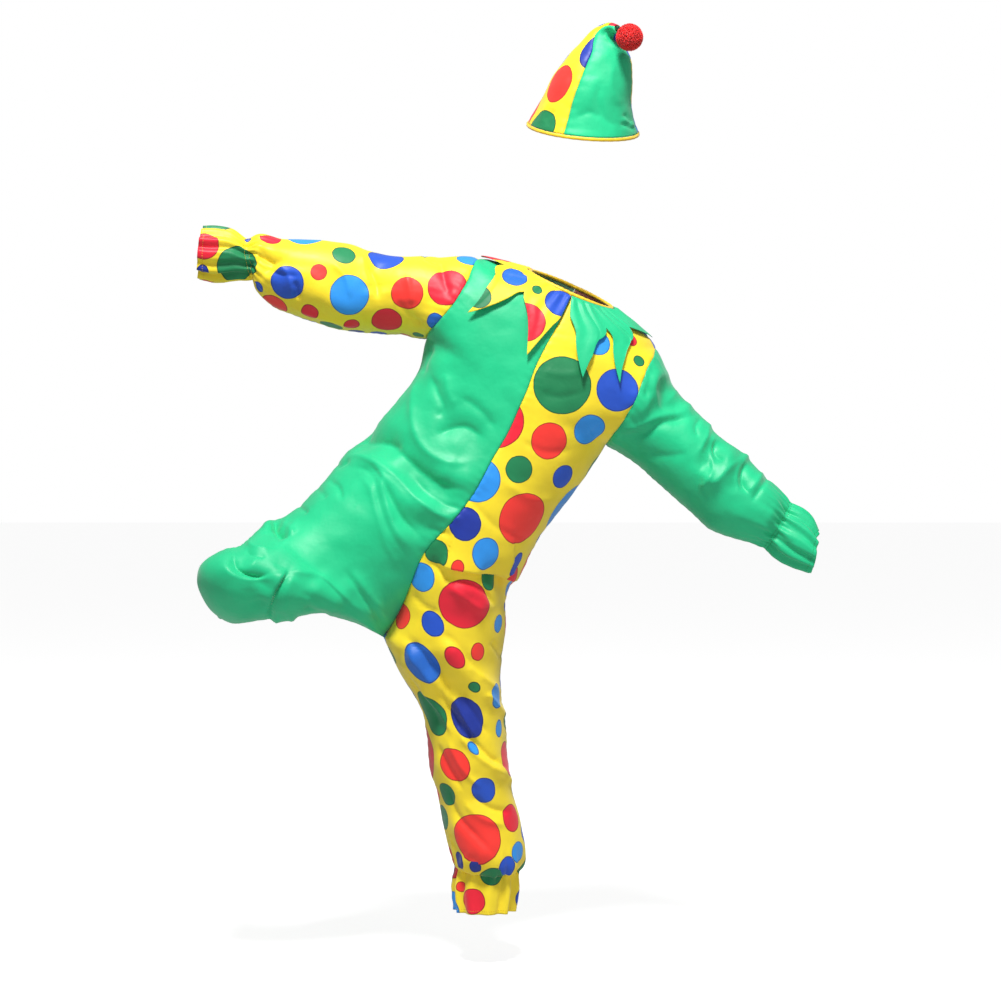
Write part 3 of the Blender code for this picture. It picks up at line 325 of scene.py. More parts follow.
# Creases, in picture units. side is 1 at the front and -1 at the back. height is in
# millimetres and negative for a hollow. above and below are its half widths in millimetres on the
# two sides of the line, for a line that runs from left to right.
CREASES = [
    # The green half of the body
    (1, 3.6, 10, 7, (422, 370, 414, 390, 412, 412, 415, 434, 427, 452, 450, 463, 478, 461)),
    (1, -4.8, 7, 9, (386, 440, 404, 456, 424, 473, 441, 484, 470, 492)),
    (1, -3.4, 5, 8, (435, 435, 450, 427, 467, 426, 485, 439)),
    (1, -2.8, 6, 9, (458, 396, 474, 405, 486, 416, 496, 431)),
    (1, -3.4, 5, 5, (433, 346, 428, 360, 424, 376)),
    (1, -3.4, 7, 7, (432, 374, 438, 392, 443, 408, 434, 418)),
    (1, 2.0, 8, 8, (447, 372, 449, 392, 456, 408)),
    (1, -4.2, 5, 8, (352, 436, 371, 437, 388, 441, 402, 448)),
    (1, 3.4, 6, 4, (364, 448, 380, 464, 399, 479, 418, 500, 440, 515, 462, 519)),
    (1, -4.0, 4, 6, (366, 462, 381, 477, 390, 496, 404, 520, 424, 542)),
    (1, -2.6, 4, 6, (408, 470, 424, 490, 444, 504, 466, 509)),
    (1, -2.4, 6, 7, (424, 528, 440, 532, 452, 536)),
    # The raised leg
    (1, 2.8, 4, 5, (344, 459, 357, 455, 375, 464, 383, 477, 385, 496, 396, 529, 418, 555)),
    (1, -2.4, 4, 4, (350, 467, 366, 470, 376, 482, 379, 502, 390, 532, 408, 558)),
    (1, 1.8, 3.5, 4, (357, 473, 370, 489, 377, 514, 386, 544, 400, 570)),
    (1, -3.4, 3, 4, (327, 478, 338, 487, 342, 500)),
    (1, -2.4, 4, 4, (316, 488, 322, 493, 326, 499)),
    (1, -3.4, 3.5, 4, (298, 505, 303, 509, 308, 513)),
    (1, -8.0, 4, 4, (273, 516, 280, 527, 290, 535)),
    (1, 3.0, 7, 7, (260, 524, 268, 520, 274, 524)),
    (1, 2.8, 5, 5, (281, 518, 289, 525, 294, 534)),
    (1, 2.6, 4, 4, (246, 540, 255, 546, 271, 548)),
    (1, -2.6, 4, 4, (244, 547, 254, 553, 268, 555)),
    (1, -5.0, 6, 5, (234, 548, 233, 562, 240, 570, 255, 574, 276, 569)),
    (1, 2.8, 5, 8, (222, 560, 232, 574, 250, 580, 274, 574)),
    (1, -6.0, 5, 3, (290, 569, 280, 583, 273, 598, 270, 613, 272, 624)),
    (1, 7.0, 9, 9, (270, 617, 279, 623, 290, 622, 297, 616)),
    (-1, 7.0, 9, 9, (270, 617, 279, 623, 290, 622, 297, 616)),
    (1, -4.0, 8, 8, (304, 606, 316, 612, 332, 615)),
    (-1, -4.0, 8, 8, (304, 606, 316, 612, 332, 615)),
    (1, -4.0, 3, 4, (335, 467, 341, 464, 350, 459)),
    (1, 3.2, 8, 8, (294, 574, 287, 592, 284, 616)),
    (1, 3.6, 9, 5, (288, 571, 303, 574, 321, 579, 348, 601, 378, 624)),
    (1, -4.2, 4, 5, (345, 570, 362, 596, 386, 627)),
    (1, 2.2, 4, 5, (352, 569, 369, 594, 391, 621)),
    (1, -2.6, 8, 8, (300, 592, 318, 600, 338, 612)),
    # The standing leg
    (1, 4.9, 6, 5, (406, 646, 421, 666, 437, 688)),
    (1, -5.7, 5, 6, (404, 634, 424, 656, 440, 678, 453, 700)),
    (1, 4.3, 6, 5, (420, 684, 436, 710, 453, 737)),
    (1, -4.1, 6, 5, (408, 672, 424, 702, 438, 730)),
    (1, -5.1, 5, 5, (434, 688, 450, 713, 463, 733)),
    (1, 5.1, 5, 4, (451, 696, 464, 718, 477, 742)),
    (1, -3.5, 5, 7, (460, 692, 475, 714, 491, 738)),
    (1, 4.9, 6, 5, (457, 732, 478, 756, 505, 779)),
    (1, -5.7, 4, 6, (462, 726, 484, 752, 506, 770)),
    (1, 4.3, 5, 5, (482, 692, 494, 704, 508, 720)),
    (1, -3.2, 4, 4, (490, 640, 497, 650, 504, 660)),
    (1, 3.0, 5, 6, (466, 664, 480, 676, 498, 690)),
    (1, -3.5, 6, 6, (440, 632, 456, 644, 470, 662, 480, 682)),
    (1, -5.9, 5, 7, (452, 577, 470, 583, 484, 592, 493, 607)),
    (1, 3.8, 6, 7, (447, 584, 464, 598, 486, 615)),
    (1, -4.1, 5, 6, (428, 560, 440, 570, 452, 584)),
    (1, -3.2, 5, 6, (410, 592, 424, 606, 440, 614)),
    (1, -5.1, 6, 7, (448, 786, 455, 811, 480, 839, 496, 855)),
    (1, 4.1, 6, 6, (494, 759, 502, 772, 510, 787)),
    (1, -4.3, 5, 6, (436, 742, 448, 768, 464, 792)),
    (1, 3.8, 6, 5, (446, 738, 462, 768, 482, 790)),
    (1, 3.5, 7, 6, (462, 800, 482, 818, 508, 826)),
    (1, -4.1, 5, 6, (470, 794, 490, 808, 512, 812)),
    (1, -3.8, 5, 5, (446, 838, 462, 852, 482, 860)),
    # The dotted half of the body
    (1, -2.2, 5, 5, (601, 424, 597, 429, 590, 434)),
    (1, 1.8, 7, 6, (542, 370, 560, 375, 582, 373)),
    (1, -1.8, 6, 7, (538, 392, 560, 397, 588, 391)),
    (1, -2.0, 6, 8, (520, 440, 545, 452, 572, 450)),
    (1, 2.0, 8, 7, (500, 480, 530, 498, 560, 500)),
    (1, -2.2, 6, 7, (470, 500, 498, 528, 530, 540)),
    # The right sleeve
    (1, -3.9, 4, 4, (244, 244, 252, 251, 263, 255, 273, 265)),
    (1, -3.1, 3, 4, (259, 248, 268, 256, 276, 265)),
    (1, -3.9, 4, 4, (294, 280, 297, 290, 298, 301)),
    (1, -4.5, 5, 6, (368, 263, 376, 280, 378, 301)),
    (1, -3.1, 4, 4, (422, 255, 430, 261, 440, 265)),
    (1, 3.9, 6, 6, (288, 305, 324, 317, 361, 326)),
    (1, -2.8, 4, 5, (264, 268, 280, 274, 300, 276)),
    (1, 2.8, 6, 5, (330, 262, 345, 276, 352, 300)),
    (1, -3.1, 5, 6, (398, 300, 408, 315, 425, 326)),
    (1, 3.2, 6, 6, (406, 274, 410, 290, 412, 305)),
    (1, -3.2, 6, 6, (440, 258, 444, 278, 450, 298)),
    (1, 3.0, 5, 6, (276, 262, 288, 276, 294, 298)),
    (1, 2.8, 5, 6, (360, 250, 366, 268, 370, 290)),
    # The left sleeve
    (1, 3.2, 14, 7, (655, 352, 653, 372, 654, 388, 660, 406, 672, 411, 690, 404, 706, 396)),
    (1, -3.2, 5, 6, (650, 366, 647, 384, 645, 400)),
    (1, 3.6, 7, 7, (618, 418, 628, 428, 643, 424, 657, 417, 669, 414, 683, 411, 697, 405)),
    (1, -4.4, 5, 9, (622, 434, 643, 434, 660, 424, 675, 419, 694, 414)),
    (1, -2.6, 8, 9, (624, 450, 650, 455, 672, 456, 690, 452)),
    (1, 3.0, 5, 6, (716, 416, 710, 425, 708, 434, 703, 446, 696, 455)),
    (1, -3.0, 4, 5, (703, 416, 697, 426, 699, 438)),
    (1, 3.4, 6, 5, (717, 428, 713, 447, 713, 461, 711, 474, 705, 484, 697, 484)),
    (1, -4.0, 4, 5, (716, 438, 717, 452, 723, 462)),
    (1, 2.8, 6, 6, (708, 486, 718, 480, 729, 469, 743, 458, 752, 450)),
    (1, 3.2, 5, 5, (754, 450, 745, 460, 739, 469, 738, 482, 742, 496)),
    (1, -3.6, 4, 5, (748, 462, 744, 470, 744, 482, 750, 496)),
    (1, -3.2, 4, 5, (772, 474, 766, 481, 760, 490, 751, 503)),
    (1, 2.4, 5, 5, (764, 470, 757, 482, 748, 492)),
    # The back of the body
    (-1, 3.0, 9, 7, (470, 330, 500, 352, 540, 372)),
    (-1, -3.0, 6, 7, (455, 360, 490, 392, 530, 410)),
    (-1, -2.5, 5, 6, (600, 380, 585, 420, 560, 450)),
    (-1, 3.2, 8, 7, (430, 400, 460, 440, 500, 470)),
    (-1, -3.6, 6, 8, (400, 440, 440, 470, 480, 500, 510, 520)),
    (-1, -4.0, 5, 8, (360, 450, 400, 480, 430, 520, 445, 560)),
    (-1, 3.0, 7, 7, (340, 470, 380, 510, 410, 550)),
    (-1, -3.2, 5, 7, (300, 520, 340, 545, 380, 570)),
    (-1, -2.8, 5, 6, (252, 520, 280, 545, 310, 560)),
    (-1, 2.8, 7, 6, (245, 560, 280, 580, 330, 590)),
    (-1, -3.2, 6, 7, (440, 560, 470, 590, 505, 600)),
    (-1, 3.6, 6, 7, (430, 600, 460, 640, 500, 660)),
    (-1, -3.8, 6, 7, (420, 640, 450, 690, 490, 720)),
    (-1, -3.2, 5, 7, (440, 720, 470, 750, 510, 770)),
    (-1, 3.0, 6, 6, (450, 780, 480, 810, 515, 820)),
    (-1, -3.2, 5, 6, (455, 830, 480, 848, 515, 846)),
    # The back of the sleeves
    (-1, -2.6, 5, 5, (260, 262, 290, 280, 330, 285)),
    (-1, 3.0, 7, 6, (300, 250, 340, 270, 390, 275)),
    (-1, -3.0, 5, 7, (380, 300, 410, 310, 440, 318)),
    (-1, -2.6, 4, 5, (420, 262, 440, 280, 450, 300)),
    (-1, -3.2, 5, 7, (650, 370, 665, 395, 690, 410)),
    (-1, 3.0, 6, 6, (640, 400, 670, 430, 700, 450)),
    (-1, -3.0, 5, 6, (700, 440, 720, 465, 745, 480)),
    (-1, 2.6, 5, 5, (660, 440, 690, 460, 715, 490)),
]

# Loose cloth that hangs over the cloth beside it: rise is how far it stands out and drop how far it
# hangs over, in millimetres, and heading the way it hangs, in degrees: 0 to the right, 90 down.
OVERHANGS = [
    (1, 6.5, 8, 90, 26, 4.5, (440, 559, 447, 562, 474, 567, 499, 571, 513, 576, 524, 573)),
    (1, 3.2, 6, 90, 18, 4.5, (455, 858, 462, 864, 480, 870, 505, 870, 525, 861)),
    (-1, 5.0, 7, 90, 24, 5, (400, 560, 440, 575, 480, 585, 520, 580)),
    (-1, 3.0, 6, 90, 18, 4.5, (455, 860, 480, 868, 505, 866, 525, 860)),
    (1, 5.0, 3.5, 15, 4.5, 20, (287, 567, 278, 581, 271, 597, 267, 614)),
    (1, 3.0, 4, 115, 14, 4, (266, 521, 274, 524, 283, 531, 291, 536)),
]

HAT_CREASES = [
    (1, -2.2, 6, 8, (603, 78, 598, 98, 604, 116, 618, 128)),
    (1, 1.8, 7, 7, (614, 62, 611, 88, 622, 108)),
    (1, -2.4, 3, 4, (634, 131, 628, 126, 620, 124)),
    (1, -2.0, 3, 3, (633, 124, 628, 119, 623, 113)),
    (1, 2.0, 3, 3, (635, 127, 629, 122, 621, 119)),
    (1, -2.4, 4, 5, (604, 28, 611, 36, 620, 42)),
    (1, 1.6, 3, 3, (603, 34, 610, 43, 618, 52)),
    (1, -2.0, 4, 5, (548, 128, 549, 118, 555, 108)),
    (1, 1.6, 5, 5, (540, 126, 543, 112, 552, 100)),
    (1, -1.4, 6, 6, (574, 70, 566, 92, 560, 108)),
    (1, -1.6, 5, 6, (575, 118, 590, 112, 602, 118)),
    (-1, -2.2, 6, 7, (560, 118, 572, 92, 590, 62)),
    (-1, 1.8, 7, 7, (592, 120, 600, 90, 606, 60)),
    (-1, -1.8, 5, 6, (612, 128, 618, 104, 620, 80)),
]

# The dots that show, in picture units: where each is, its radius and its colour. Where the cloth
# is drawn out of shape, also how many times longer than wide it is and which way it runs.
DOTS = {
    "front_left": [
        (562.4, 385, 28.5, "forest"), (549.3, 441, 18.4, "scarlet"), (589.3, 429.5, 16.4, "sky"),
        (617.3, 390, 21, "royal"), (639, 361, 6.3, "forest"), (631, 338.7, 8, "crimson"),
        (598, 343, 12.7, "sky"), (497.7, 421.4, 26.3, "crimson"), (519.1, 469.5, 13.6, "forest"),
        (563.1, 476.8, 12.6, "royal"), (598, 470, 16, "forest"), (477.8, 479.5, 22.3, "sky"),
        (465.2, 523.7, 16, "navy"), (523, 518.6, 26.3, "scarlet"), (486.1, 553.3, 14, "sky"),
        (436, 552, 12, "forest"), (457.6, 568, 6.3, "scarlet"), (488.5, 579, 10.4, "forest"),
        (516.5, 562.5, 7.5, "royal", 1.5, 130), (514, 578, 7, "crimson", 1.2, 150),
        (421.5, 577, 13.6, "sky", 1.1, 70), (465.5, 604.4, 24, "crimson", 1.1, 30),
        (402, 616.5, 11.8, "scarlet", 1.1, 80), (432.4, 624, 10.4, "royal", 1.36, 55),
        (455.5, 658, 8.6, "crimson", 1.55, 52), (478.2, 652, 8.2, "scarlet", 1.2, 70),
        (498.7, 623.7, 8.4, "sky", 1.1, 100), (504.5, 607, 5, "royal"),
        (503, 655, 6, "forest", 1.9, 100), (496.5, 695.7, 10.6, "sky", 1.3, 65),
        (421, 664, 14.4, "azure", 1.6, 55), (474.6, 687, 5, "forest", 1.5, 40),
        (392, 655, 8, "forest", 1.2, 60), (434, 711.5, 17.4, "forest", 1.42, 58),
        (467.5, 718.5, 16.6, "navy", 1.34, 58), (499, 728.4, 6.4, "sky", 1.5, 100),
        (473.5, 748.5, 4.4, "sky", 1.8, 50), (506, 759, 12.6, "crimson", 1.5, 100),
        (453.6, 765, 16, "scarlet", 1.14, 50), (484, 790.4, 12, "royal", 1.12, 60),
        (512, 818, 13, "crimson", 1.1, 90), (447, 794, 12, "forest"), (444, 817, 13, "forest"),
        (477, 837.5, 22.6, "scarlet", 1.1, 50), (518, 851.5, 10, "sky"),
        (507, 867, 9, "royal"), (475, 867, 6, "navy"), (492.4, 877.4, 13, "forest"),
        (461.6, 886.8, 5.4, "scarlet"), (472.3, 901.5, 13, "crimson"), (512.5, 894.8, 12, "royal"),
        (459, 860, 7, "navy"),
    ],
    "sleeve_right": [
        (204, 245, 14.8, "crimson"), (236, 265, 19, "forest"), (208, 276, 8, "scarlet"),
        (249, 243, 6, "royal"), (270.6, 238, 11, "crimson"), (305, 239, 17.3, "sky"),
        (344, 254, 12, "forest"), (318.7, 272, 8.3, "scarlet"), (286.8, 283, 17, "royal"),
        (349.5, 294.5, 19.2, "sky"), (274.4, 305, 14, "scarlet"), (310, 312, 9, "crimson"),
        (331, 326, 12, "forest"), (385.8, 258, 18, "royal"), (423, 255, 6, "forest"),
        (470, 258, 13.5, "sky"), (407, 292.9, 16.2, "scarlet"), (447.6, 287.5, 19.8, "crimson"),
        (386.9, 321, 15.3, "crimson"), (351.7, 325, 8, "crimson"), (436, 323, 10, "azure"),
        (418, 335, 6, "forest"),
    ],
    "collar_right": [
        (514.6, 277.5, 13, "azure"), (537.4, 289.7, 5.5, "forest"), (560, 303, 15.5, "royal"),
        (525.5, 322, 20, "crimson"), (479, 296.5, 12.5, "forest"),
    ],
    "hat_gore_4": [
        (593, 51, 11.5, "navy", 2.0, 111), (558, 83, 15.5, "scarlet", 1.3, 111),
        (540.5, 127, 17.5, "forest", 1.15, 10), (616, 26, 9, "crimson"),
    ],
}

# Dots on the cloth that doesn't show: their radii, the least space between two of them, and the
# colours that they take.
HIDDEN_DOT_SIZES = (28, 26, 19, 17, 14, 12, 9, 6.5)
DOT_SPACE = 3.2
DOT_COLOURS = ("scarlet", "crimson", "royal", "navy", "sky", "azure", "forest")

# The printed edge of a dot and the darker rim inside it, in metres, and the colours that the rim
# is multiplied by and that the cloth's wrong side tends to.
DOT_EDGE = 0.0005
DOT_RIM = 0.001
DOT_RIM_EDGE = 0.0009
RIM_SHADE = (0.36, 0.36, 0.4, 1.0)
WRONG_SIDE = (0.92, 0.92, 0.86, 1.0)

# Colours, as sRGB.
TINTS = {
    "scarlet": (255, 58, 50),
    "crimson": (238, 32, 56),
    "royal": (34, 84, 200),
    "navy": (28, 54, 158),
    "sky": (44, 150, 238),
    "azure": (34, 108, 208),
    "forest": (24, 130, 80),
    "green": (27, 196, 134),
    "ground": (252, 224, 42),
    "binding": (252, 206, 26),
    "pompom": (252, 46, 46),
    "thread_green": (18, 150, 84),
    "thread_yellow": (226, 178, 20),
}

# The studio, in metres: the floor, and where each lamp is, its size and its power.
FLOOR_HALF = 60.0
FLOOR_HEIGHT = -0.945
LIT_PLACE = (-0.1, 0, -0.3)
LAMPS = {
    "key": ((-0.25, -1.65, 2.65), 0.8, 152),
    "fill": ((1.9, -2.4, 0.5), 1.6, 9),
}


def table(columns, rows):
    """Rows of numbers as one array for each named column."""
    values = np.array(rows, float).T
    return dict(zip(columns.split(), values))


def curve_through(knots, values, wanted):
    """A smooth line through the values that never overshoots them (monotone cubic pieces)."""
    step = np.diff(knots)
    rise = np.diff(values) / step
    slope = np.zeros(len(values))
    same_way = rise[:-1] * rise[1:] > 0
    before, after = rise[:-1], rise[1:]
    weight_a = 2 * step[1:] + step[:-1]
    weight_b = step[1:] + 2 * step[:-1]
    safe_before = np.where(same_way, before, 1.0)
    safe_after = np.where(same_way, after, 1.0)
    middle = (weight_a + weight_b) / (weight_a / safe_before + weight_b / safe_after)
    slope[1:-1] = np.where(same_way, middle, 0.0)
    slope[0], slope[-1] = rise[0], rise[-1]
    piece = np.clip(np.searchsorted(knots, wanted, side="right") - 1, 0, len(step) - 1)
    t = (wanted - knots[piece]) / step[piece]
    h = step[piece]
    return (
        (1 + 2 * t) * (1 - t) ** 2 * values[piece]
        + t * (1 - t) ** 2 * h * slope[piece]
        + t**2 * (3 - 2 * t) * values[piece + 1]
        + t**2 * (t - 1) * h * slope[piece + 1]
    )


def read(columns, stations):
    """Every column of a table, smoothly read at these stations (row numbers)."""
    knots = np.arange(len(next(iter(columns.values()))), dtype=float)
    return {name: curve_through(knots, values, stations) for name, values in columns.items()}


def points(columns, name):
    """Three columns, NAME_x, NAME_y and NAME_z, as points."""
    return np.stack([columns[f"{name}_{axis}"] for axis in "xyz"], axis=-1)


def ease(value, low, high):
    """0 below low, 1 above high, and smooth between them."""
    t = np.clip((value - low) / (high - low), 0, 1)
    return t * t * (3 - 2 * t)


def unit(vectors):
    return vectors / np.maximum(np.linalg.norm(vectors, axis=-1, keepdims=True), 1e-9)


def spread(length_of, low, high, count):
    """Stations from low to high that lie the same distance apart along a line of points."""
    fine = np.linspace(low, high, 400)
    line = length_of(fine)
    along = np.concatenate([[0], np.cumsum(np.linalg.norm(np.diff(line, axis=0), axis=1))])
    return np.interp(np.linspace(0, along[-1], count + 1), along, fine)


class Half:
    """One half of the jumpsuit: a table of half rings from the neck round the side to the hem."""

    def __init__(self, side, leg):
        torso = table(TORSO_COLUMNS, TORSO)
        crotch = table(CROTCH_COLUMNS, CROTCH)
        leg = table(LEG_COLUMNS, leg)
        zero = np.zeros(len(TORSO))
        none = np.zeros(len(CROTCH))
        self.shared_rows = len(TORSO) + len(CROTCH)
        self.shared = {
            "inner_x": np.concatenate([torso["mid_x"], crotch["mid_x"]]),
            "inner_y": np.concatenate([torso["mid_y"], crotch["mid_y"]]),
            "inner_z": np.concatenate([torso["mid_z"], crotch["mid_z"]]),
            "seam_front": np.concatenate([torso["front"], crotch["seam_front"]]),
            "seam_back": np.concatenate([torso["back"], crotch["seam_back"]]),
            "tilt": np.concatenate([torso["tilt"], none]),
        }
        self.leg_only = {
            name: np.concatenate([self.shared[name][-1:], leg[name]])
            for name in ("inner_x", "inner_y", "inner_z")
        }
        self.own = {
            "outer_x": np.concatenate([torso[f"{side}_x"], crotch[f"{side}_x"], leg["outer_x"]]),
            "outer_y": np.concatenate([zero, crotch[f"{side}_y"], leg["outer_y"]]),
            "outer_z": np.concatenate([torso[f"{side}_z"], crotch[f"{side}_z"], leg["outer_z"]]),
            "front": np.concatenate([torso["front"], crotch[f"{side}_front"], leg["front"]]),
            "back": np.concatenate([torso["back"], crotch[f"{side}_back"], leg["back"]]),
            "turn": np.concatenate([zero, none, leg["turn"]]),
            "gather": np.concatenate([zero, none, leg["gather"]]),
        }
        self.last_shared = self.shared_rows - 1
        self.last = self.shared_rows + len(leg["turn"]) - 1

    def rows(self, stations):
        """The half rings' measures at these stations."""
        own = read(self.own, stations)
        above = read(self.shared, np.minimum(stations, self.last_shared))
        below = read(self.leg_only, np.maximum(stations - self.last_shared, 0))
        in_leg = stations > self.last_shared
        for name in ("inner_x", "inner_y", "inner_z"):
            own[name] = np.where(in_leg, below[name], above[name])
        for name in ("seam_front", "seam_back", "tilt"):
            own[name] = np.where(in_leg, 0.0, above[name])
        return own

    def middle_line(self, stations):
        rows = self.rows(stations)
        return (points(rows, "inner") + points(rows, "outer")) / 2

    def depths(self, stations, way):
        """The half rings' measures, and the first and last angle of a quarter of each."""
        rows = self.rows(stations)
        rows["depth"] = rows["front"] if way > 0 else rows["back"]
        seam = np.minimum(rows["seam_front"] if way > 0 else rows["seam_back"], rows["depth"])
        start = np.pi - np.arcsin(np.clip(seam / rows["depth"], 0, 1) ** (1 / ROUND_POWER))
        across_armhole = (stations - SHOULDER_ROW) / (UNDERARM_ROW - SHOULDER_ROW)
        inside = np.clip(1 - (2 * across_armhole - 1) ** 2, 0, 1)
        return rows, start, ARMHOLE_ANGLE * np.sqrt(inside)

    def places(self, stations, way, angle):
        """Points on the rings at these stations, one row of angles each."""
        rows, start, end = self.depths(np.clip(stations, 0, self.last), way)
        inner, outer = points(rows, "inner"), points(rows, "outer")
        reach = (outer - inner) / (flattened(end) - flattened(start))[:, None]
        middle = inner - reach * flattened(start)[:, None]
        turn, tilt = np.radians(rows["turn"]), np.radians(rows["tilt"])
        forward = np.stack([-np.sin(turn), -np.cos(turn), np.zeros(len(turn))], axis=-1)
        forward = forward * np.cos(tilt)[:, None] - TORSO_UP * np.sin(tilt)[:, None]
        lift = np.abs(np.sin(angle)) ** ROUND_POWER * (way * rows["depth"])[:, None]
        return (
            middle[:, None]
            + reach[:, None] * flattened(angle)[..., None]
            + forward[:, None] * lift[..., None]
        )

    def quarter(self, stations, way, columns):
        """The front (way 1) or back (way -1) quarter of each half ring, from the centre seam to
        the side seam, the armhole's edge or, on the leg, from the inseam to the side seam. Gives
        its points and the outward normal at each."""
        _, start, end = self.depths(stations, way)
        angle = start[:, None] + (end - start)[:, None] * np.linspace(0, 1, columns + 1)
        grid = self.places(stations, way, angle)
        ahead = self.places(stations + 0.04, way, angle)
        behind = self.places(stations - 0.04, way, angle)
        wide = self.places(stations, way, np.clip(angle + 0.02, 0.002, np.pi - 0.002))
        narrow = self.places(stations, way, np.clip(angle - 0.02, 0.002, np.pi - 0.002))
        normal = unit(np.cross(wide - narrow, ahead - behind))
        away = grid - self.middle_line(stations)[:, None]
        return grid, normal * np.sign((normal * away).sum(axis=(1, 2)))[:, None, None]


def flattened(angle):
    """The cosine of a slightly squared circle."""
    return np.sign(np.cos(angle)) * np.abs(np.cos(angle)) ** ROUND_POWER


def fold_height(place, normal, folds):
    """How far the folds raise the cloth at these places."""
    height = np.zeros(place.shape[:-1])
    flat = place[..., [0, 2]]
    for i in range(len(folds["side"])):
        a, b, c = (
            np.array([folds[f"x{k}"][i], folds[f"z{k}"][i]]) for k in range(3)
        )
        facing = ease(-folds["side"][i] * normal[..., 1], -0.45, 0.15)
        nearest = np.full(height.shape, 1e9)
        along = np.zeros(height.shape)
        for k, (p, q) in enumerate(((a, b), (b, c))):
            t = np.clip(((flat - p) @ (q - p)) / ((q - p) @ (q - p)), 0, 1)
            gap = np.linalg.norm(flat - (p + t[..., None] * (q - p)), axis=-1)
            closer = gap < nearest
            nearest = np.where(closer, gap, nearest)
            along = np.where(closer, (k + t) / 2, along)
        fade = ease(along, 0, 0.3) * ease(1 - along, 0, 0.3)
        across = np.exp(-((nearest / folds["width"][i]) ** 2))
        height += folds["height"][i] * across * (0.25 + 0.75 * fade) * facing
    return height


def picture_place(place):
    """Where points show in the picture, in its own units."""
    closer = -CAMERA_AT[1] / (place[..., 1] - CAMERA_AT[1])
    across = CAMERA_AT[0] + (place[..., 0] - CAMERA_AT[0]) * closer
    up = CAMERA_AT[2] + (place[..., 2] - CAMERA_AT[2]) * closer
    return np.stack([NECK_AT[0] + across / UNIT, NECK_AT[1] - up / UNIT], axis=-1)


def smooth_line(flat_points, steps=7):
    """A smooth line through points given as x, y, x, y and so on."""
    knots = np.array(flat_points, float).reshape(-1, 2)
    padded = np.concatenate([2 * knots[:1] - knots[1:2], knots, 2 * knots[-1:] - knots[-2:-1]])
    t = np.linspace(0, 1, steps + 1)[:-1, None]
    pieces = []
    for p0, p1, p2, p3 in zip(padded, padded[1:], padded[2:], padded[3:]):
        pieces.append(
            0.5
            * (
                2 * p1
                + (p2 - p0) * t
                + (2 * p0 - 5 * p1 + 4 * p2 - p3) * t**2
                + (3 * p1 - p0 - 3 * p2 + p3) * t**3
            )
        )
    return np.concatenate(pieces + [knots[-1:]])


def line_profile(seen, flat_points, above, below):
    """How strongly a crease acts at each place seen: 1 on its line and fading off it."""
    line = smooth_line(flat_points)
    margin = 3.2 * max(above, below) / UNIT
    near = np.all((seen > line.min(axis=0) - margin) & (seen < line.max(axis=0) + margin), axis=-1)
    strength = np.zeros(seen.shape[:-1])
    if not near.any():
        return strength
    spots = seen[near]
    best = np.full(len(spots), 1e9)
    side = np.zeros(len(spots))
    along = np.zeros(len(spots))
    count = len(line) - 1
    for k in range(count):
        start, way = line[k], line[k + 1] - line[k]
        offset = spots - start
        t = np.clip((offset @ way) / (way @ way), 0, 1)
        gap = np.linalg.norm(offset - t[:, None] * way, axis=-1)
        closer = gap < best
        best = np.where(closer, gap, best)
        side = np.where(closer, way[0] * offset[:, 1] - way[1] * offset[:, 0], side)
        along = np.where(closer, (k + t) / count, along)
    width = np.where(side < 0, above, below)
    crest = CREST * width
    across = np.exp(-(np.sqrt((best * UNIT) ** 2 + crest**2) - crest) / (CREASE_FADE * width))
    ends = ease(along, 0, 0.22) * ease(1 - along, 0, 0.22)
    strength[near] = across * (0.12 + 0.88 * ends)
    return strength


def crease_height(place, normal, creases):
    """How far the small creases raise the cloth at these places."""
    seen = picture_place(place)
    height = np.zeros(seen.shape[:-1])
    for side, rise, above, below, line in creases:
        facing = ease(-side * normal[..., 1], -0.3, 0.25)
        height += rise * facing * line_profile(seen, line, above, below)
    return height


def overhang(place, normal):
    """How far loose cloth moves out and down at these places."""
    seen = picture_place(place)
    move = np.zeros(place.shape)
    for side, rise, drop, heading, above, below, line in OVERHANGS:
        heading = math.radians(heading)
        over = np.array([math.cos(heading), 0.0, -math.sin(heading)])
        facing = ease(-side * normal[..., 1], -0.3, 0.25)
        strength = (facing * line_profile(seen, line, above, below))[..., None]
        move += strength * (normal * rise + over * drop)
    return move


def softness(place, seed, wavelength, count=9):
    """An uneven value between about -1 and 1 that changes slowly from place to place."""
    random = np.random.default_rng(seed)
    total = np.zeros(place.shape[:-1])
    for _ in range(count):
        way = unit(random.normal(size=3))
        length = wavelength * random.uniform(0.7, 1.6)
        total += np.sin(place @ way * 2 * np.pi / length + random.uniform(0, 2 * np.pi))
    return total / math.sqrt(count)


def pleat_wave(turn, count, seed):
    """Uneven pleats round a cuff: turn runs once round it, and the wave meets itself."""
    random = np.random.default_rng(seed)
    phase = 2 * np.pi * count * turn
    size = np.ones(np.shape(turn))
    for lobes in (2, 3, 5):
        phase = phase + random.uniform(0.3, 0.7) * np.sin(
            2 * np.pi * lobes * turn + random.uniform(0, 2 * np.pi)
        )
        size = size + random.uniform(0.1, 0.22) * np.sin(
            2 * np.pi * lobes * turn + random.uniform(0, 2 * np.pi)
        )
    return np.cos(phase) * size


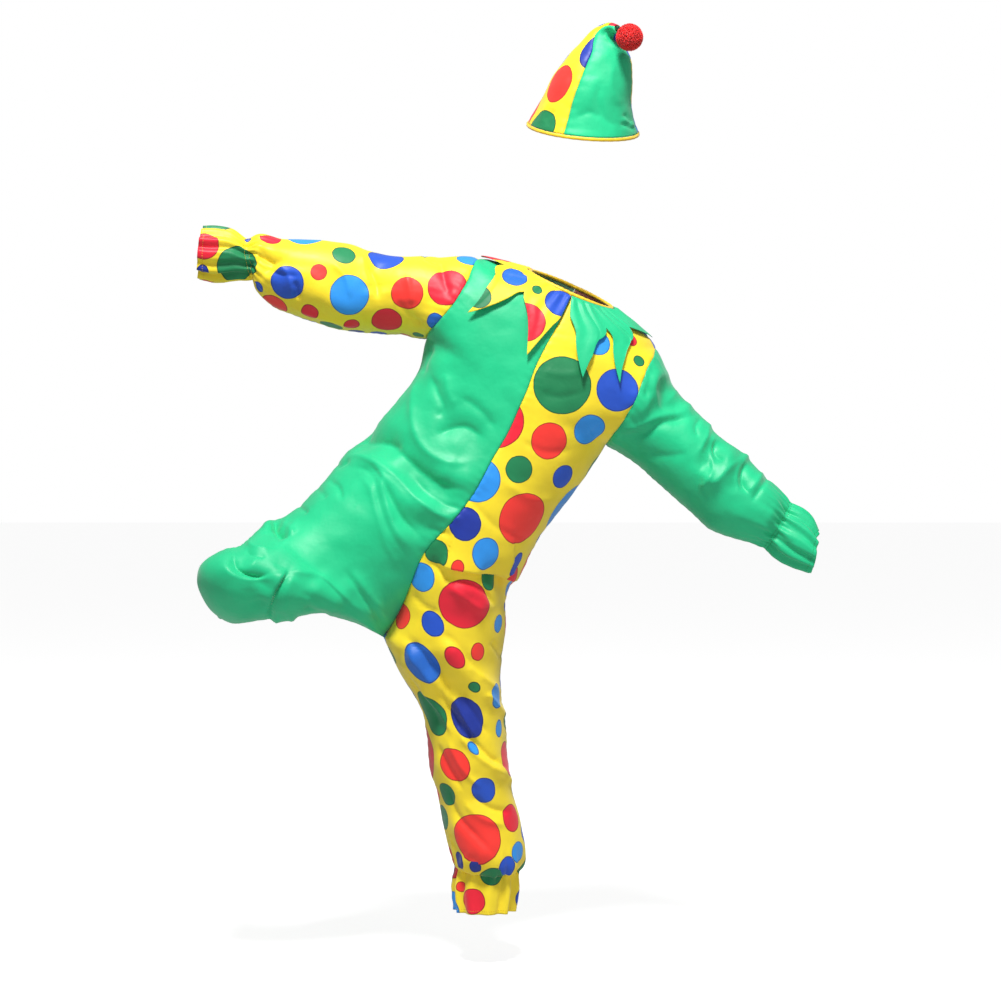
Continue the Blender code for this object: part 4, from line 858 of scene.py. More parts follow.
def elastic_height(beyond, turn, gather, count, seed):
    """Pleats at an elastic. beyond is the distance past it, towards the hem, at each row."""
    beyond = beyond[:, None]
    turn = turn[None]
    body = np.clip(-beyond, 0, None)
    frill = np.clip(beyond, 0, None)
    fine = pleat_wave(turn, FINE_PLEATS, seed)
    middle = pleat_wave(turn, FINE_PLEATS // 2, seed + 1)
    broad = pleat_wave(turn, 7, seed + 2)
    height = 1.3 * fine * np.exp(-body / 16) * np.exp(-frill / 12)
    height += 1.7 * middle * ease(body, 2, 12) * np.exp(-body / 30)
    height += 1.6 * broad * ease(body, 8, 30) * np.exp(-body / 48)
    own = np.cos(2 * np.pi * count * turn)
    height += gather[:, None] * own
    height += 1.5 * middle * ease(frill, 4, 34)
    height -= 1.4 * np.exp(-((beyond / 4.0) ** 2))
    return height


def tube_normals(grid):
    """The outward normal at each point of a grid that closes round its rows."""
    along = np.gradient(grid, axis=0)
    wrapped = np.concatenate([grid[:, -1:], grid, grid[:, :1]], axis=1)
    across = (wrapped[:, 2:] - wrapped[:, :-2]) / 2
    normal = unit(np.cross(across, along))
    away = grid - grid.mean(axis=1, keepdims=True)
    return normal * np.sign((normal * away).sum())


def lengths(grid, axis):
    """Distances along a grid's rows or columns, from its first point."""
    steps = np.linalg.norm(np.diff(grid, axis=axis), axis=-1)
    start = np.zeros_like(np.take(steps, [0], axis=axis))
    return np.concatenate([start, np.cumsum(steps, axis=axis)], axis=axis)


def body_seams(shared_count):
    """The seams between the body panels, as groups of edges that meet."""
    last = shared_count
    armhole = slice(NECK_ROWS + 1, NECK_ROWS + ARMHOLE_ROWS)
    groups = [
        [(f"front_{side}", (slice(0, last - 1), 0)) for side in ("right", "left")],
        [(f"back_{side}", (slice(0, last - 1), 0)) for side in ("right", "left")],
        [
            (f"{panel}_{side}", (last - 1, 0))
            for panel in ("front", "back")
            for side in ("right", "left")
        ],
    ]
    for side in ("right", "left"):
        both = (f"front_{side}", f"back_{side}")
        groups.append([(name, (slice(last, None), 0)) for name in both])
        groups.append([(name, (slice(0, armhole.start), -1)) for name in both])
        groups.append([(name, (slice(armhole.stop, None), -1)) for name in both])
    return groups


def body_grids():
    """The four body panels before their folds, their normals and each row's station and place."""
    halves = {"right": Half("right", RIGHT_LEG), "left": Half("left", LEFT_LEG)}
    one = halves["right"]
    share = armhole_shares()
    shared = np.concatenate(
        [
            spread(one.middle_line, 0, SHOULDER_ROW, NECK_ROWS)[:-1],
            (SHOULDER_ROW + (UNDERARM_ROW - SHOULDER_ROW) * share)[:-1],
            spread(one.middle_line, UNDERARM_ROW, one.last_shared, TORSO_ROWS),
        ]
    )
    grids, normals, rows_of = {}, {}, {}
    for side, half in halves.items():
        leg = spread(half.middle_line, half.last_shared, half.last, LEG_ROWS)[1:]
        stations = np.concatenate([shared, leg])
        line = half.middle_line(stations)
        along = lengths(line[:, None], 0)[:, 0]
        elastic = np.interp(half.last - 2, stations, along)
        rows_of[side] = {
            "station": stations,
            "beyond": along - elastic,
            "gather": half.rows(stations)["gather"],
        }
        for panel, way in (("front", 1), ("back", -1)):
            name = f"{panel}_{side}"
            grid, normal = half.quarter(stations, way, BODY_COLUMNS)
            amount = smoothing(len(shared), len(stations))
            grids[name], normals[name] = smoothed(grid, amount), unit(smoothed(normal, amount))
    for group in body_seams(len(shared)):
        mean = unit(sum(normals[name][where] for name, where in group))
        for name, where in group:
            normals[name][where] = mean
    return grids, normals, rows_of


def smoothing(shared_count, count):
    """How much of each point's smoothing is kept: none at the rows and edges that must meet."""
    row = np.arange(count)[:, None]
    share = np.linspace(0, 1, BODY_COLUMNS + 1)[None]
    amount = np.ones((count, BODY_COLUMNS + 1))
    for fixed in (0, count - 1):
        amount = amount * ease(np.abs(row - fixed), 1, 8)
    by_crotch = 1 - ease(np.abs(row - shared_count + 1), 1, 8)
    amount = amount * (1 - by_crotch * (1 - ease(share, 0.03, 0.25)))
    by_armhole = 1 - ease(row, NECK_ROWS + ARMHOLE_ROWS + 6, NECK_ROWS + ARMHOLE_ROWS + 16)
    return amount * (1 - by_armhole * ease(share, 0.7, 0.97))


def smoothed(values, amount):
    """Softens the bends between a grid's rows."""
    wide = values.copy()
    for _ in range(SMOOTHING_PASSES):
        wide[1:-1] = (wide[:-2] + 2 * wide[1:-1] + wide[2:]) / 4
    return values + (wide - values) * amount[..., None]


def armhole_shares():
    """How far down the armhole each of its rows is, closer together towards both ends."""
    step = np.linspace(0, 1, ARMHOLE_ROWS + 1)
    return 0.5 * step + 0.25 * (1 - np.cos(np.pi * step))


def seam_dip(grid, along_rows):
    """The small hollow and puckers beside the seams at a panel's two long edges."""
    across = lengths(grid, 1)
    to_edge = np.minimum(across, across[:, -1:] - across)
    run = along_rows[:, None]
    pucker = np.sin(run * 0.47 + 1.3 * np.sin(run * 0.061)) * (0.6 + 0.4 * np.sin(run * 0.023))
    return 0.55 * pucker * np.exp(-to_edge / 9) - 1.0 * np.exp(-((to_edge / 2.4) ** 2))


def dress_body():
    """The body panels as they lie: before the folds, with the large folds, and finished."""
    folds = table(FOLD_COLUMNS, FOLDS)
    rest, normals, rows_of = body_grids()
    folded, final = {}, {}
    share = np.linspace(0, 0.5, BODY_COLUMNS + 1)
    for name, grid in rest.items():
        panel, side = name.split("_")
        rows, normal = rows_of[side], normals[name]
        turn = share if panel == "front" else 1 - share
        raised = fold_height(grid, normal, folds)
        raised *= ease(rows["station"], SHOULDER_ROW, SHOULDER_ROW + 1.2)[:, None]
        folded[name] = grid + normal * raised[..., None]
        calm = 1 - ease(rows["beyond"], -60, -8)[:, None]
        raised = crease_height(grid, normal, CREASES) * (0.15 + 0.85 * calm)
        raised += 0.6 * softness(grid, 11, 95) * calm
        raised += 0.3 * softness(grid, 12, 34) * calm
        raised *= ease(rows["station"], 0.6, 2.4)[:, None]
        raised += elastic_height(rows["beyond"], turn, rows["gather"], LEG_GATHERS, 31)
        raised += seam_dip(grid, rows["beyond"])
        final[name] = folded[name] + normal * raised[..., None] + overhang(grid, normal)
    return rest, normals, folded, final, rows_of


def armhole_loop(grids, side):
    """The armhole's edge as a closed ring of evenly turned points, from the shoulder forwards."""
    rows = slice(NECK_ROWS, NECK_ROWS + ARMHOLE_ROWS + 1)
    turn = np.linspace(0, np.pi, SLEEVE_TURNS // 2 + 1)
    wanted = (1 - np.cos(turn)) / 2
    halves = []
    for panel in ("front", "back"):
        edge = grids[f"{panel}_{side}"][rows, -1]
        halves.append(
            np.stack([np.interp(wanted, armhole_shares(), edge[:, k]) for k in range(3)], axis=-1)
        )
    front, back = halves
    return np.concatenate([front, back[::-1][1:-1]])


def dress_sleeve(rows_table, rest_loop, folded_loop, final_loop, seed):
    """A sleeve that starts at the armhole's edge: its rest places, its final places and normals."""
    columns = table(SLEEVE_COLUMNS, rows_table)
    last = len(rows_table) - 1
    angle = np.linspace(0, 2 * np.pi, SLEEVE_TURNS + 1)[:-1]

    def rings(stations):
        rows = read(columns, stations)
        top = np.stack([rows["top_x"], rows["mid_y"], rows["top_z"]], axis=-1)
        under = np.stack([rows["under_x"], rows["mid_y"], rows["under_z"]], axis=-1)
        middle, reach = (top + under) / 2, (top - under) / 2
        swing = np.cos(angle)[None, :, None] * reach[:, None]
        deep = np.sin(angle)[None, :, None] * rows["depth"][:, None, None] * FRONT
        return middle[:, None] + swing + deep, rows["gather"]

    stations = spread(lambda s: rings(s)[0].mean(axis=1), 0, last, SLEEVE_ROWS)
    plain, gather = rings(stations)
    along = lengths(plain.mean(axis=1, keepdims=True), 0)[:, 0]
    run = along[:, None]
    fade = (np.clip(1 - along / SLEEVE_BLEND, 0, 1) ** 2)[:, None, None]
    rest = plain + fade * (rest_loop - plain[0])[None]
    grid = plain + fade * (folded_loop - plain[0])[None]
    normal = tube_normals(grid)
    raised = fold_height(grid, normal, table(FOLD_COLUMNS, FOLDS)) * ease(run, 0, FOLD_START)
    elastic = np.interp(last - 3, stations, along)
    beyond = along - elastic
    calm = (1 - ease(beyond, -50, -8))[:, None] * ease(run, 0, 14)
    raised += crease_height(grid, normal, CREASES) * calm
    raised += (0.6 * softness(grid, seed, 85) + 0.3 * softness(grid, seed + 1, 30)) * calm
    turn = np.arange(SLEEVE_TURNS) / SLEEVE_TURNS
    raised += elastic_height(beyond, turn, gather, SLEEVE_GATHERS, seed + 2)
    under_seam = np.abs(turn - 0.5)[None] * lengths(grid, 1)[:, -1:]
    pucker = np.sin(run * 0.5 + 1.1 * np.sin(run * 0.07))
    raised += ease(run, 0, 3) * 0.4 * pucker * np.exp(-under_seam / 8)
    raised -= ease(run, 0, 3) * 0.9 * np.exp(-((under_seam / 2.4) ** 2))
    around = lengths(folded_loop[None], 1)
    puff = 0.5 * np.sin(around * 0.44 + 1.2 * np.sin(around * 0.05))
    raised += (1.1 + puff) * ease(run, 0, 5) * np.exp(-run / 20)
    edge = np.exp(-((run / 5) ** 2))[..., None] * (final_loop - folded_loop)[None]
    final = grid + normal * raised[..., None] + edge
    return rest, final, tube_normals(final), beyond


def pulled_in(grid, edges, gap):
    """Moves the named edges of a grid inwards along the cloth, to leave room at the seams."""
    grid = grid.copy()
    for edge in edges:
        if edge == "top":
            grid[0] += unit(grid[1] - grid[0]) * gap
        else:
            at, beside = (0, 1) if edge == "first" else (-1, -2)
            grid[:, at] += unit(grid[:, beside] - grid[:, at]) * gap
    return grid


def grid_faces(rows, columns, closed):
    """Quads between the points of a grid, numbered row by row."""
    across = columns if closed else columns - 1
    row, column = np.meshgrid(np.arange(rows - 1), np.arange(across), indexing="ij")
    beside = (column + 1) % columns
    corners = (row * columns + column, row * columns + beside)
    corners += ((row + 1) * columns + beside, (row + 1) * columns + column)
    return np.stack(corners, axis=-1).reshape(-1, 4)


def rim_faces(rows, columns, closed):
    """Quads that join the edges of an outer grid to the same edges of an inner one."""
    numbers = np.arange(rows * columns).reshape(rows, columns)
    shift = rows * columns
    strips = []
    for line, turned in ((numbers[0], True), (numbers[-1], False)):
        line = np.append(line, line[0]) if closed else line
        strips.append((line, turned))
    if not closed:
        strips += [(numbers[:, 0], False), (numbers[:, -1], True)]
    faces = []
    for line, turned in strips:
        quads = np.stack([line[:-1], line[1:], line[1:] + shift, line[:-1] + shift], axis=-1)
        faces.append(quads[:, ::-1] if turned else quads)
    return np.concatenate(faces)


def volume_of(verts, faces):
    a, b, c, d = (verts[faces[:, k]] for k in range(4))
    total = np.einsum("ij,ij->i", a, np.cross(b, c)) + np.einsum("ij,ij->i", a, np.cross(c, d))
    return total.sum()


def add_object(name, data):
    """Puts a mesh, lamp or camera into the scene."""
    made = bpy.data.objects.new(name, data)
    bpy.context.scene.collection.objects.link(made)
    return made


def add_mesh(name, verts, faces, material, smooth=True):
    """A mesh in the scene, from points in millimetres."""
    mesh = bpy.data.meshes.new(name)
    mesh.from_pydata((verts * MM).tolist(), [], faces)
    mesh.update()
    if smooth:
        mesh.shade_smooth()
    mesh.materials.append(material)
    return add_object(name, mesh)


def finish_object(name, verts, faces, material, nodes, uv=None):
    """A smooth mesh piece that rides on the costume's body and stands for its CAD nodes."""
    made = add_mesh(name, verts, faces.tolist(), material)
    if uv is not None:
        layer = made.data.uv_layers.new(name="UVMap")
        layer.data.foreach_set("uv", uv[faces.reshape(-1)].reshape(-1))
    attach(made, "root")
    if nodes:
        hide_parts(*nodes)
    return made


def add_shell(node, rest, final, normal, material, slot, closed=False, dots=None):
    """A thin closed cloth shell over a grid, with the places and dots that its material reads."""
    rows, columns = final.shape[:2]
    inner = final - normal * WALL
    verts = np.concatenate([final.reshape(-1, 3), inner.reshape(-1, 3)])
    sheet = grid_faces(rows, columns, closed)
    rims = rim_faces(rows, columns, closed)
    faces = np.concatenate([sheet, sheet[:, ::-1] + rows * columns, rims])
    inside = np.concatenate([np.zeros(len(sheet)), np.ones(len(sheet)), np.zeros(len(rims))])
    if volume_of(verts, faces) < 0:
        faces = faces[:, ::-1]
    across, along = lengths(rest, 1).mean(axis=0), lengths(rest, 0).mean(axis=1)
    uv = np.stack(np.meshgrid(across, along), axis=-1).reshape(-1, 2) * MM
    made = finish_object(f"{node}_cloth", verts, faces, material, [node], np.tile(uv, (2, 1)))
    mesh = made.data
    places = np.tile(rest.reshape(-1, 3), (2, 1)) * MM
    store(mesh, "rest", "FLOAT_VECTOR", "POINT", places)
    store(mesh, "inside", "FLOAT", "FACE", inside)
    if dots is not None:
        middle = places[faces].mean(axis=1)
        nearest = nearest_dot(middle / MM, dots)
        store(mesh, "dot_at", "FLOAT_VECTOR", "FACE", dots["at"][nearest] * MM)
        store(mesh, "dot_pull", "FLOAT_VECTOR", "FACE", dots["pull"][nearest])
        store(mesh, "dot_size", "FLOAT", "FACE", dots["size"][nearest] * MM)
        store(mesh, "dot_tint", "FLOAT_COLOR", "FACE", dots["tint"][nearest])
    return made


def store(mesh, name, kind, domain, values):
    """Keeps values on a mesh for its material to read."""
    key = {"FLOAT": "value", "FLOAT_VECTOR": "vector", "FLOAT_COLOR": "color"}[kind]
    mesh.attributes.new(name, kind, domain).data.foreach_set(key, np.ravel(values))


def nearest_dot(places, dots):
    """The number of the dot whose edge is nearest to each place."""
    best = np.full(len(places), 1e9)
    number = np.zeros(len(places), int)
    for k, (centre, size, pull) in enumerate(zip(dots["at"], dots["size"], dots["pull"])):
        offset = places - centre
        offset = offset - (offset @ pull)[:, None] * pull
        gap = np.linalg.norm(offset, axis=1) - size
        closer = gap < best
        best[closer] = gap[closer]
        number[closer] = k
    return number


def scatter_dots(node, rest, final, normal, seed):
    """The charted dots of a piece, and dots of the same sizes on the cloth that doesn't show."""
    random = np.random.default_rng(seed)
    flat_rest = rest.reshape(-1, 3)
    seen = picture_place(final).reshape(-1, 2)
    facing = -normal.reshape(-1, 3)[:, 1]
    at, size, extent, tint, pull = [], [], [], [], []
    charted = DOTS.get(node, [])
    shown = np.flatnonzero(facing > 0.0)
    for x, y, radius, colour, *drawn in charted:
        longer, heading = drawn or (1.0, 0.0)
        heading = math.radians(heading)
        along = np.array([math.cos(heading), 0.0, -math.sin(heading)])
        pull.append(along * math.sqrt(1 - 1 / longer))
        gap = seen[shown] - (x, y)
        spot = shown[np.argmin((gap**2).sum(axis=1))]
        shift = np.array([x, y]) - seen[spot]
        at.append(flat_rest[spot] + np.array([shift[0], 0.0, -shift[1]]) * UNIT)
        size.append(radius * UNIT)
        extent.append(radius * UNIT * longer)
        tint.append(colour)
    free = np.flatnonzero(facing < 0.12) if charted else np.arange(len(flat_rest))
    names = [colour for colour in TINTS if colour in DOT_COLOURS]
    for radius in HIDDEN_DOT_SIZES:
        for spot in random.choice(free, 260):
            place, reach = flat_rest[spot], radius * UNIT
            clear = all(
                np.linalg.norm(place - other) > reach + wide + DOT_SPACE * UNIT
                for other, wide in zip(at, extent)
            )
            if clear:
                near = sorted(zip(at, tint), key=lambda p: np.linalg.norm(place - p[0]))[:2]
                taken = {colour for _, colour in near}
                choices = [colour for colour in names if colour not in taken]
                at.append(place)
                pull.append(np.zeros(3))
                size.append(reach)
                extent.append(reach)
                tint.append(choices[random.integers(len(choices))])
    colours = np.array([(*linear(TINTS[colour]), 1.0) for colour in tint])
    return {
        "at": np.array(at),
        "size": np.array(size),
        "pull": np.array(pull),
        "tint": colours,
    }


def linear(colour):
    """An sRGB colour from 0 to 255 as the linear values that a shader takes."""
    share = np.array(colour) / 255
    return tuple(np.where(share <= 0.04045, share / 12.92, ((share + 0.055) / 1.055) ** 2.4))


def add_node(tree, kind, inputs=None, **settings):
    """A shader node with its settings, and its inputs as numbers or links."""
    made = tree.nodes.new(kind)
    for key, value in settings.items():
        setattr(made, key, value)
    for key, value in (inputs or {}).items():
        if isinstance(value, bpy.types.NodeSocket):
            tree.links.new(value, made.inputs[key])
        else:
            made.inputs[key].default_value = value
    return made


def vector(tree, operation, first, second):
    return add_node(tree, "ShaderNodeVectorMath", {0: first, 1: second}, operation=operation)


def calc(tree, operation, first, second=0.0, clamp=False):
    made = add_node(tree, "ShaderNodeMath", {0: first, 1: second}, operation=operation)
    made.use_clamp = clamp
    return made.outputs[0]


def mix_colours(tree, factor, first, second, blend="MIX"):
    made = tree.nodes.new("ShaderNodeMix")
    made.data_type = "RGBA"
    made.blend_type = blend
    for socket, value in ((made.inputs[0], factor), (made.inputs[6], first), (made.inputs[7], second)):
        if isinstance(value, bpy.types.NodeSocket):
            tree.links.new(value, socket)
        else:
            socket.default_value = value
    return made.outputs[2]


def noise(tree, place, scale, detail=2.0):
    inputs = {"Vector": place, "Scale": scale, "Detail": detail}
    return add_node(tree, "ShaderNodeTexNoise", inputs).outputs["Fac"]


def spread_value(tree, value, low, high):
    inputs = {"Value": value, "From Min": 0.3, "From Max": 0.7, "To Min": low, "To Max": high}
    return add_node(tree, "ShaderNodeMapRange", inputs).outputs["Result"]


def attribute(tree, name, output="Fac"):
    """What a mesh keeps under this name."""
    return add_node(tree, "ShaderNodeAttribute", attribute_name=name).outputs[output]


def shaded(tree, base, pattern, low, high):
    """A colour made a little darker and lighter by a pattern."""
    shade = spread_value(tree, pattern, low, high)
    grey = add_node(tree, "ShaderNodeCombineColor", {0: shade, 1: shade, 2: shade}).outputs[0]
    return mix_colours(tree, 1.0, base, grey, "MULTIPLY")


def bump(tree, height, strength, distance, **under):
    inputs = {"Height": height, "Strength": strength, "Distance": distance, **under}
    return add_node(tree, "ShaderNodeBump", inputs).outputs[0]


def new_material(name):
    made = bpy.data.materials.new(name)
    made.use_nodes = True
    tree = made.node_tree
    shader = tree.nodes["Principled BSDF"]
    return made, tree, shader


def satin(name, ground, dotted=False):
    """Thin polyester satin: fine threads, soft gloss, small wrinkles and a paler wrong side."""
    made, tree, shader = new_material(name)
    rest = attribute(tree, "rest", "Vector")
    inside = attribute(tree, "inside")
    uv = add_node(tree, "ShaderNodeUVMap", uv_map="UVMap").outputs["UV"]
    base = (*linear(TINTS[ground]), 1.0)
    if dotted:
        centre = attribute(tree, "dot_at", "Vector")
        size = attribute(tree, "dot_size")
        tint = attribute(tree, "dot_tint", "Color")
        pull = attribute(tree, "dot_pull", "Vector")
        offset = vector(tree, "SUBTRACT", rest, centre).outputs[0]
        part = vector(tree, "DOT_PRODUCT", offset, pull).outputs["Value"]
        shift = add_node(tree, "ShaderNodeVectorMath", {0: pull, 3: part}, operation="SCALE")
        gap = vector(tree, "DISTANCE", offset, shift.outputs[0])
        wobble = calc(tree, "MULTIPLY", calc(tree, "SUBTRACT", noise(tree, rest, 60), 0.5), 0.002)
        depth = calc(tree, "ADD", calc(tree, "SUBTRACT", size, gap.outputs["Value"]), wobble)
        inked = calc(tree, "MULTIPLY", depth, 1 / DOT_EDGE, clamp=True)
        past_rim = calc(tree, "SUBTRACT", depth, DOT_RIM)
        core = calc(tree, "MULTIPLY", past_rim, 1 / DOT_RIM_EDGE, clamp=True)
        rim = mix_colours(tree, 1.0, tint, RIM_SHADE, "MULTIPLY")
        ink = mix_colours(tree, core, rim, tint)
        base = mix_colours(tree, inked, base, ink)
    base = shaded(tree, base, noise(tree, rest, 16, 3.0), 0.9, 1.06)
    pale = mix_colours(tree, 0.34, base, WRONG_SIDE)
    base = mix_colours(tree, inside, base, pale)
    tree.links.new(base, shader.inputs["Base Color"])
    rough = spread_value(tree, noise(tree, rest, 30), 0.44, 0.54)
    rough = calc(tree, "ADD", rough, calc(tree, "MULTIPLY", inside, 0.2))
    tree.links.new(rough, shader.inputs["Roughness"])
    shader.inputs["Specular IOR Level"].default_value = 0.34
    shader.inputs["Sheen Weight"].default_value = 0.22
    shader.inputs["Sheen Roughness"].default_value = 0.45
    threads = add_node(tree, "ShaderNodeMapping", {"Vector": uv, "Scale": (2200, 160, 1)})
    weave = bump(tree, noise(tree, threads.outputs[0], 1.0), 0.12, 0.0002)
    wrinkles = bump(tree, noise(tree, rest, 26, 3.0), 0.5, 0.004, Normal=weave)
    tree.links.new(wrinkles, shader.inputs["Normal"])
    return made


def plain_cloth(name, ground, roughness, sheen):
    """A matt or ribbed narrow cloth: bindings, thread and the pompom's yarn."""
    made, tree, shader = new_material(name)
    place = add_node(tree, "ShaderNodeTexCoord").outputs["Object"]
    base = (*linear(TINTS[ground]), 1.0)
    base = shaded(tree, base, noise(tree, place, 120, 3.0), 0.84, 1.08)
    tree.links.new(base, shader.inputs["Base Color"])
    shader.inputs["Roughness"].default_value = roughness
    shader.inputs["Sheen Weight"].default_value = sheen
    fibres = bump(tree, noise(tree, place, 1500, 2.0), 0.3, 0.0003)
    tree.links.new(fibres, shader.inputs["Normal"])
    return made


def body_place(folded, normals, side, place, reach):
    """Points on the body and their normals, at distances down one line from the neck. place runs
    0 at the centre front to 2 at the centre back, and there is one for each distance."""
    joined = [folded[f"front_{side}"], folded[f"back_{side}"][:, -2::-1]]
    leaning = [normals[f"front_{side}"], normals[f"back_{side}"][:, -2::-1]]
    grid = np.concatenate(joined, axis=1)[:COLLAR_REACH_ROWS]
    lean = np.concatenate(leaning, axis=1)[:COLLAR_REACH_ROWS]
    column = place * BODY_COLUMNS
    left = np.clip(column.astype(int), 0, grid.shape[1] - 2)
    share = (column - left)[:, None]
    found = np.zeros((len(place), 6))
    for i, (first, part) in enumerate(zip(left, share)):
        line = grid[:, first] * (1 - part) + grid[:, first + 1] * part
        out = lean[:, first] * (1 - part) + lean[:, first + 1] * part
        along = lengths(line[:, None], 0)[:, 0]
        both = np.concatenate([line, out], axis=1)
        found[i] = [np.interp(reach[i], along, both[:, k]) for k in range(6)]
    return found[:, :3], unit(found[:, 3:])


def collar_grid(folded, normals, side, rows_table):
    """Half of the pointed collar: gathered at the neck, with soft folds down to its points."""
    shape = table(COLLAR_COLUMNS, rows_table)
    knots = np.clip(shape["neck"], *COLLAR_ENDS)
    steps = np.linspace(0, 1, COLLAR_POINT_COLUMNS + 1)[:-1]
    places = (knots[:-1, None] + np.diff(knots)[:, None] * steps).ravel()
    places = np.append(places, knots[-1])
    piece = np.clip(np.searchsorted(knots, places, side="right") - 1, 0, len(knots) - 2)
    share = (places - knots[piece]) / (knots[piece + 1] - knots[piece])
    rising = shape["reach"][piece + 1] > shape["reach"][piece]
    power = shape["bend"][piece]
    bend = np.where(rising, share**power, 1 - (1 - share) ** power)
    reach = shape["reach"][piece] * (1 - bend) + shape["reach"][piece + 1] * bend
    ends = np.clip(np.interp(places, shape["neck"], shape["edge"]), *COLLAR_ENDS)
    lift = np.interp(places, shape["neck"], shape["lift"])
    grid = np.zeros((COLLAR_ROW_COUNT + 1, len(places), 3))
    normal = np.zeros_like(grid)
    wave = np.sin(math.pi * COLLAR_PLEATS * places + 0.8 * np.sin(9 * places))
    soft = np.sin(11.0 * places + 1.7 * np.sin(4.1 * places))
    for i, fall in enumerate(np.linspace(0, 1, COLLAR_ROW_COUNT + 1)):
        point, out = body_place(folded, normals, side, places + (ends - places) * fall, fall * reach)
        pleat = COLLAR_PLEAT * (1 + wave) * (1 - fall) * ease(fall, 0, 0.12)
        swell = 1.2 * (1 + soft) * ease(fall, 0.1, 0.8)
        clear = COLLAR_CLEAR + WALL + pleat + swell + (lift - COLLAR_CLEAR) * fall**1.5
        grid[i] = point + out * clear[:, None]
        normal[i] = out
    return grid, normal


def tube(name, centre, up, wide, high, material, node):
    """A closed tube round a ring of points; wide and high are its half sizes at each point."""
    way = unit(np.roll(centre, -1, axis=0) - np.roll(centre, 1, axis=0))
    side = unit(np.cross(way, up))
    top = np.cross(side, way)
    angle = np.linspace(0, 2 * np.pi, TUBE_SIDES + 1)[:-1]
    grid = (
        centre[:, None]
        + np.cos(angle)[None, :, None] * (side * wide[:, None])[:, None]
        + np.sin(angle)[None, :, None] * (top * high[:, None])[:, None]
    )
    count = len(centre)
    ring, turn = np.meshgrid(np.arange(count), np.arange(TUBE_SIDES), indexing="ij")
    after, beside = (ring + 1) % count, (turn + 1) % TUBE_SIDES
    corners = (ring * TUBE_SIDES + turn, ring * TUBE_SIDES + beside)
    corners += (after * TUBE_SIDES + beside, after * TUBE_SIDES + turn)
    faces = np.stack(corners, axis=-1).reshape(-1, 4)
    verts = grid.reshape(-1, 3)
    if volume_of(verts, faces) < 0:
        faces = faces[:, ::-1]
    return finish_object(name, verts, faces, material, [node])


def even_ring(line, count):
    """Points the same distance apart round a closed line."""
    closed = np.concatenate([line, line[:1]])
    along = lengths(closed[:, None], 0)[:, 0]
    at = np.linspace(0, along[-1], count + 1)[:-1]
    return np.stack([np.interp(at, along, closed[:, k]) for k in range(3)], axis=-1)


def build_binding(folded, material):
    """The bound neck edge, slightly uneven as a gathered edge is."""
    ring = []
    for side, order in (("right", 1), ("left", -1)):
        front, back = folded[f"front_{side}"], folded[f"back_{side}"]
        half = np.concatenate([front, back[:, ::-1][:, 1:]], axis=1)[:6:5]
        ring.append(half[:, ::order])
    edge, below = np.concatenate([ring[0][:, :-1], ring[1][:, :-1]], axis=1)
    up = unit(edge - below)
    centre = even_ring(edge + up * (BINDING_RADIUS + BINDING_CLEAR), TUBE_POINTS)
    turn = np.arange(TUBE_POINTS) / TUBE_POINTS
    uneven = pleat_wave(turn, 46, 5)
    axis = even_ring(edge + up * 20, TUBE_POINTS) - centre
    wide = BINDING_RADIUS * 0.86 + 0.16 * uneven
    high = BINDING_RADIUS + 0.14 * uneven
    return tube("neck_binding_cloth", centre, unit(axis), wide, high, material, "neck_binding")


def hat_rings(stations, angles):
    """Rings of the hat, which turn and lean with its axis; angle 0 faces forwards."""
    rows = read(table(HAT_COLUMNS, HAT), stations)
    turn, lean = np.radians(rows["turn"]), np.radians(rows["lean"])
    sine, cosine = np.sin(turn), np.cos(turn)
    side = np.stack([cosine, np.zeros(len(stations)), -sine], axis=-1)
    front = np.stack([-sine * np.sin(lean), -np.cos(lean), -cosine * np.sin(lean)], axis=-1)
    middle = np.stack([rows["x"], rows["y"], rows["z"]], axis=-1)
    swing = np.sin(angles)[..., None] * (side * rows["wide"][:, None])[:, None]
    deep = np.cos(angles)[..., None] * (front * rows["deep"][:, None])[:, None]
    return middle[:, None] + swing + deep


def dress_hat():
    """The hat's four gores as one closed grid, with soft dents and a dip along each seam."""
    last = len(HAT) - 1
    stations = spread(lambda s: hat_rings(s, np.zeros(1))[:, 0], 0, last, GORE_ROWS)
    count = HAT_GORES * GORE_COLUMNS
    angles = np.interp(np.arange(count) / GORE_COLUMNS, np.arange(HAT_GORES + 1), HAT_SEAMS)
    rest = hat_rings(stations, angles + HAT_TIP_TWIST * ease(stations, 3.2, 5.2)[:, None])
    normal = tube_normals(rest)
    raised = crease_height(rest, normal, HAT_CREASES)
    raised += 0.9 * softness(rest, 21, 70) + 0.3 * softness(rest, 22, 26)
    along = lengths(rest.mean(axis=1, keepdims=True), 0)[:, 0]
    below_tip = 1 - ease(along, along[-1] - 14, along[-1])
    raised *= (ease(along, 0, 10) * below_tip)[:, None]
    step = np.arange(count) % GORE_COLUMNS
    to_seam = np.minimum(step, GORE_COLUMNS - step) / GORE_COLUMNS
    width = np.linalg.norm(rest - rest.mean(axis=1, keepdims=True), axis=-1).mean(axis=1)
    gap = to_seam[None] * (width * np.pi / 2)[:, None]
    pucker = np.sin(along * 0.5 + 1.2 * np.sin(along * 0.06))[:, None]
    dip = 0.35 * pucker * np.exp(-gap / 7) - 0.8 * np.exp(-((gap / 2.2) ** 2))
    raised += dip * below_tip[:, None]
    final = rest + normal * raised[..., None]
    return rest, final, tube_normals(final)


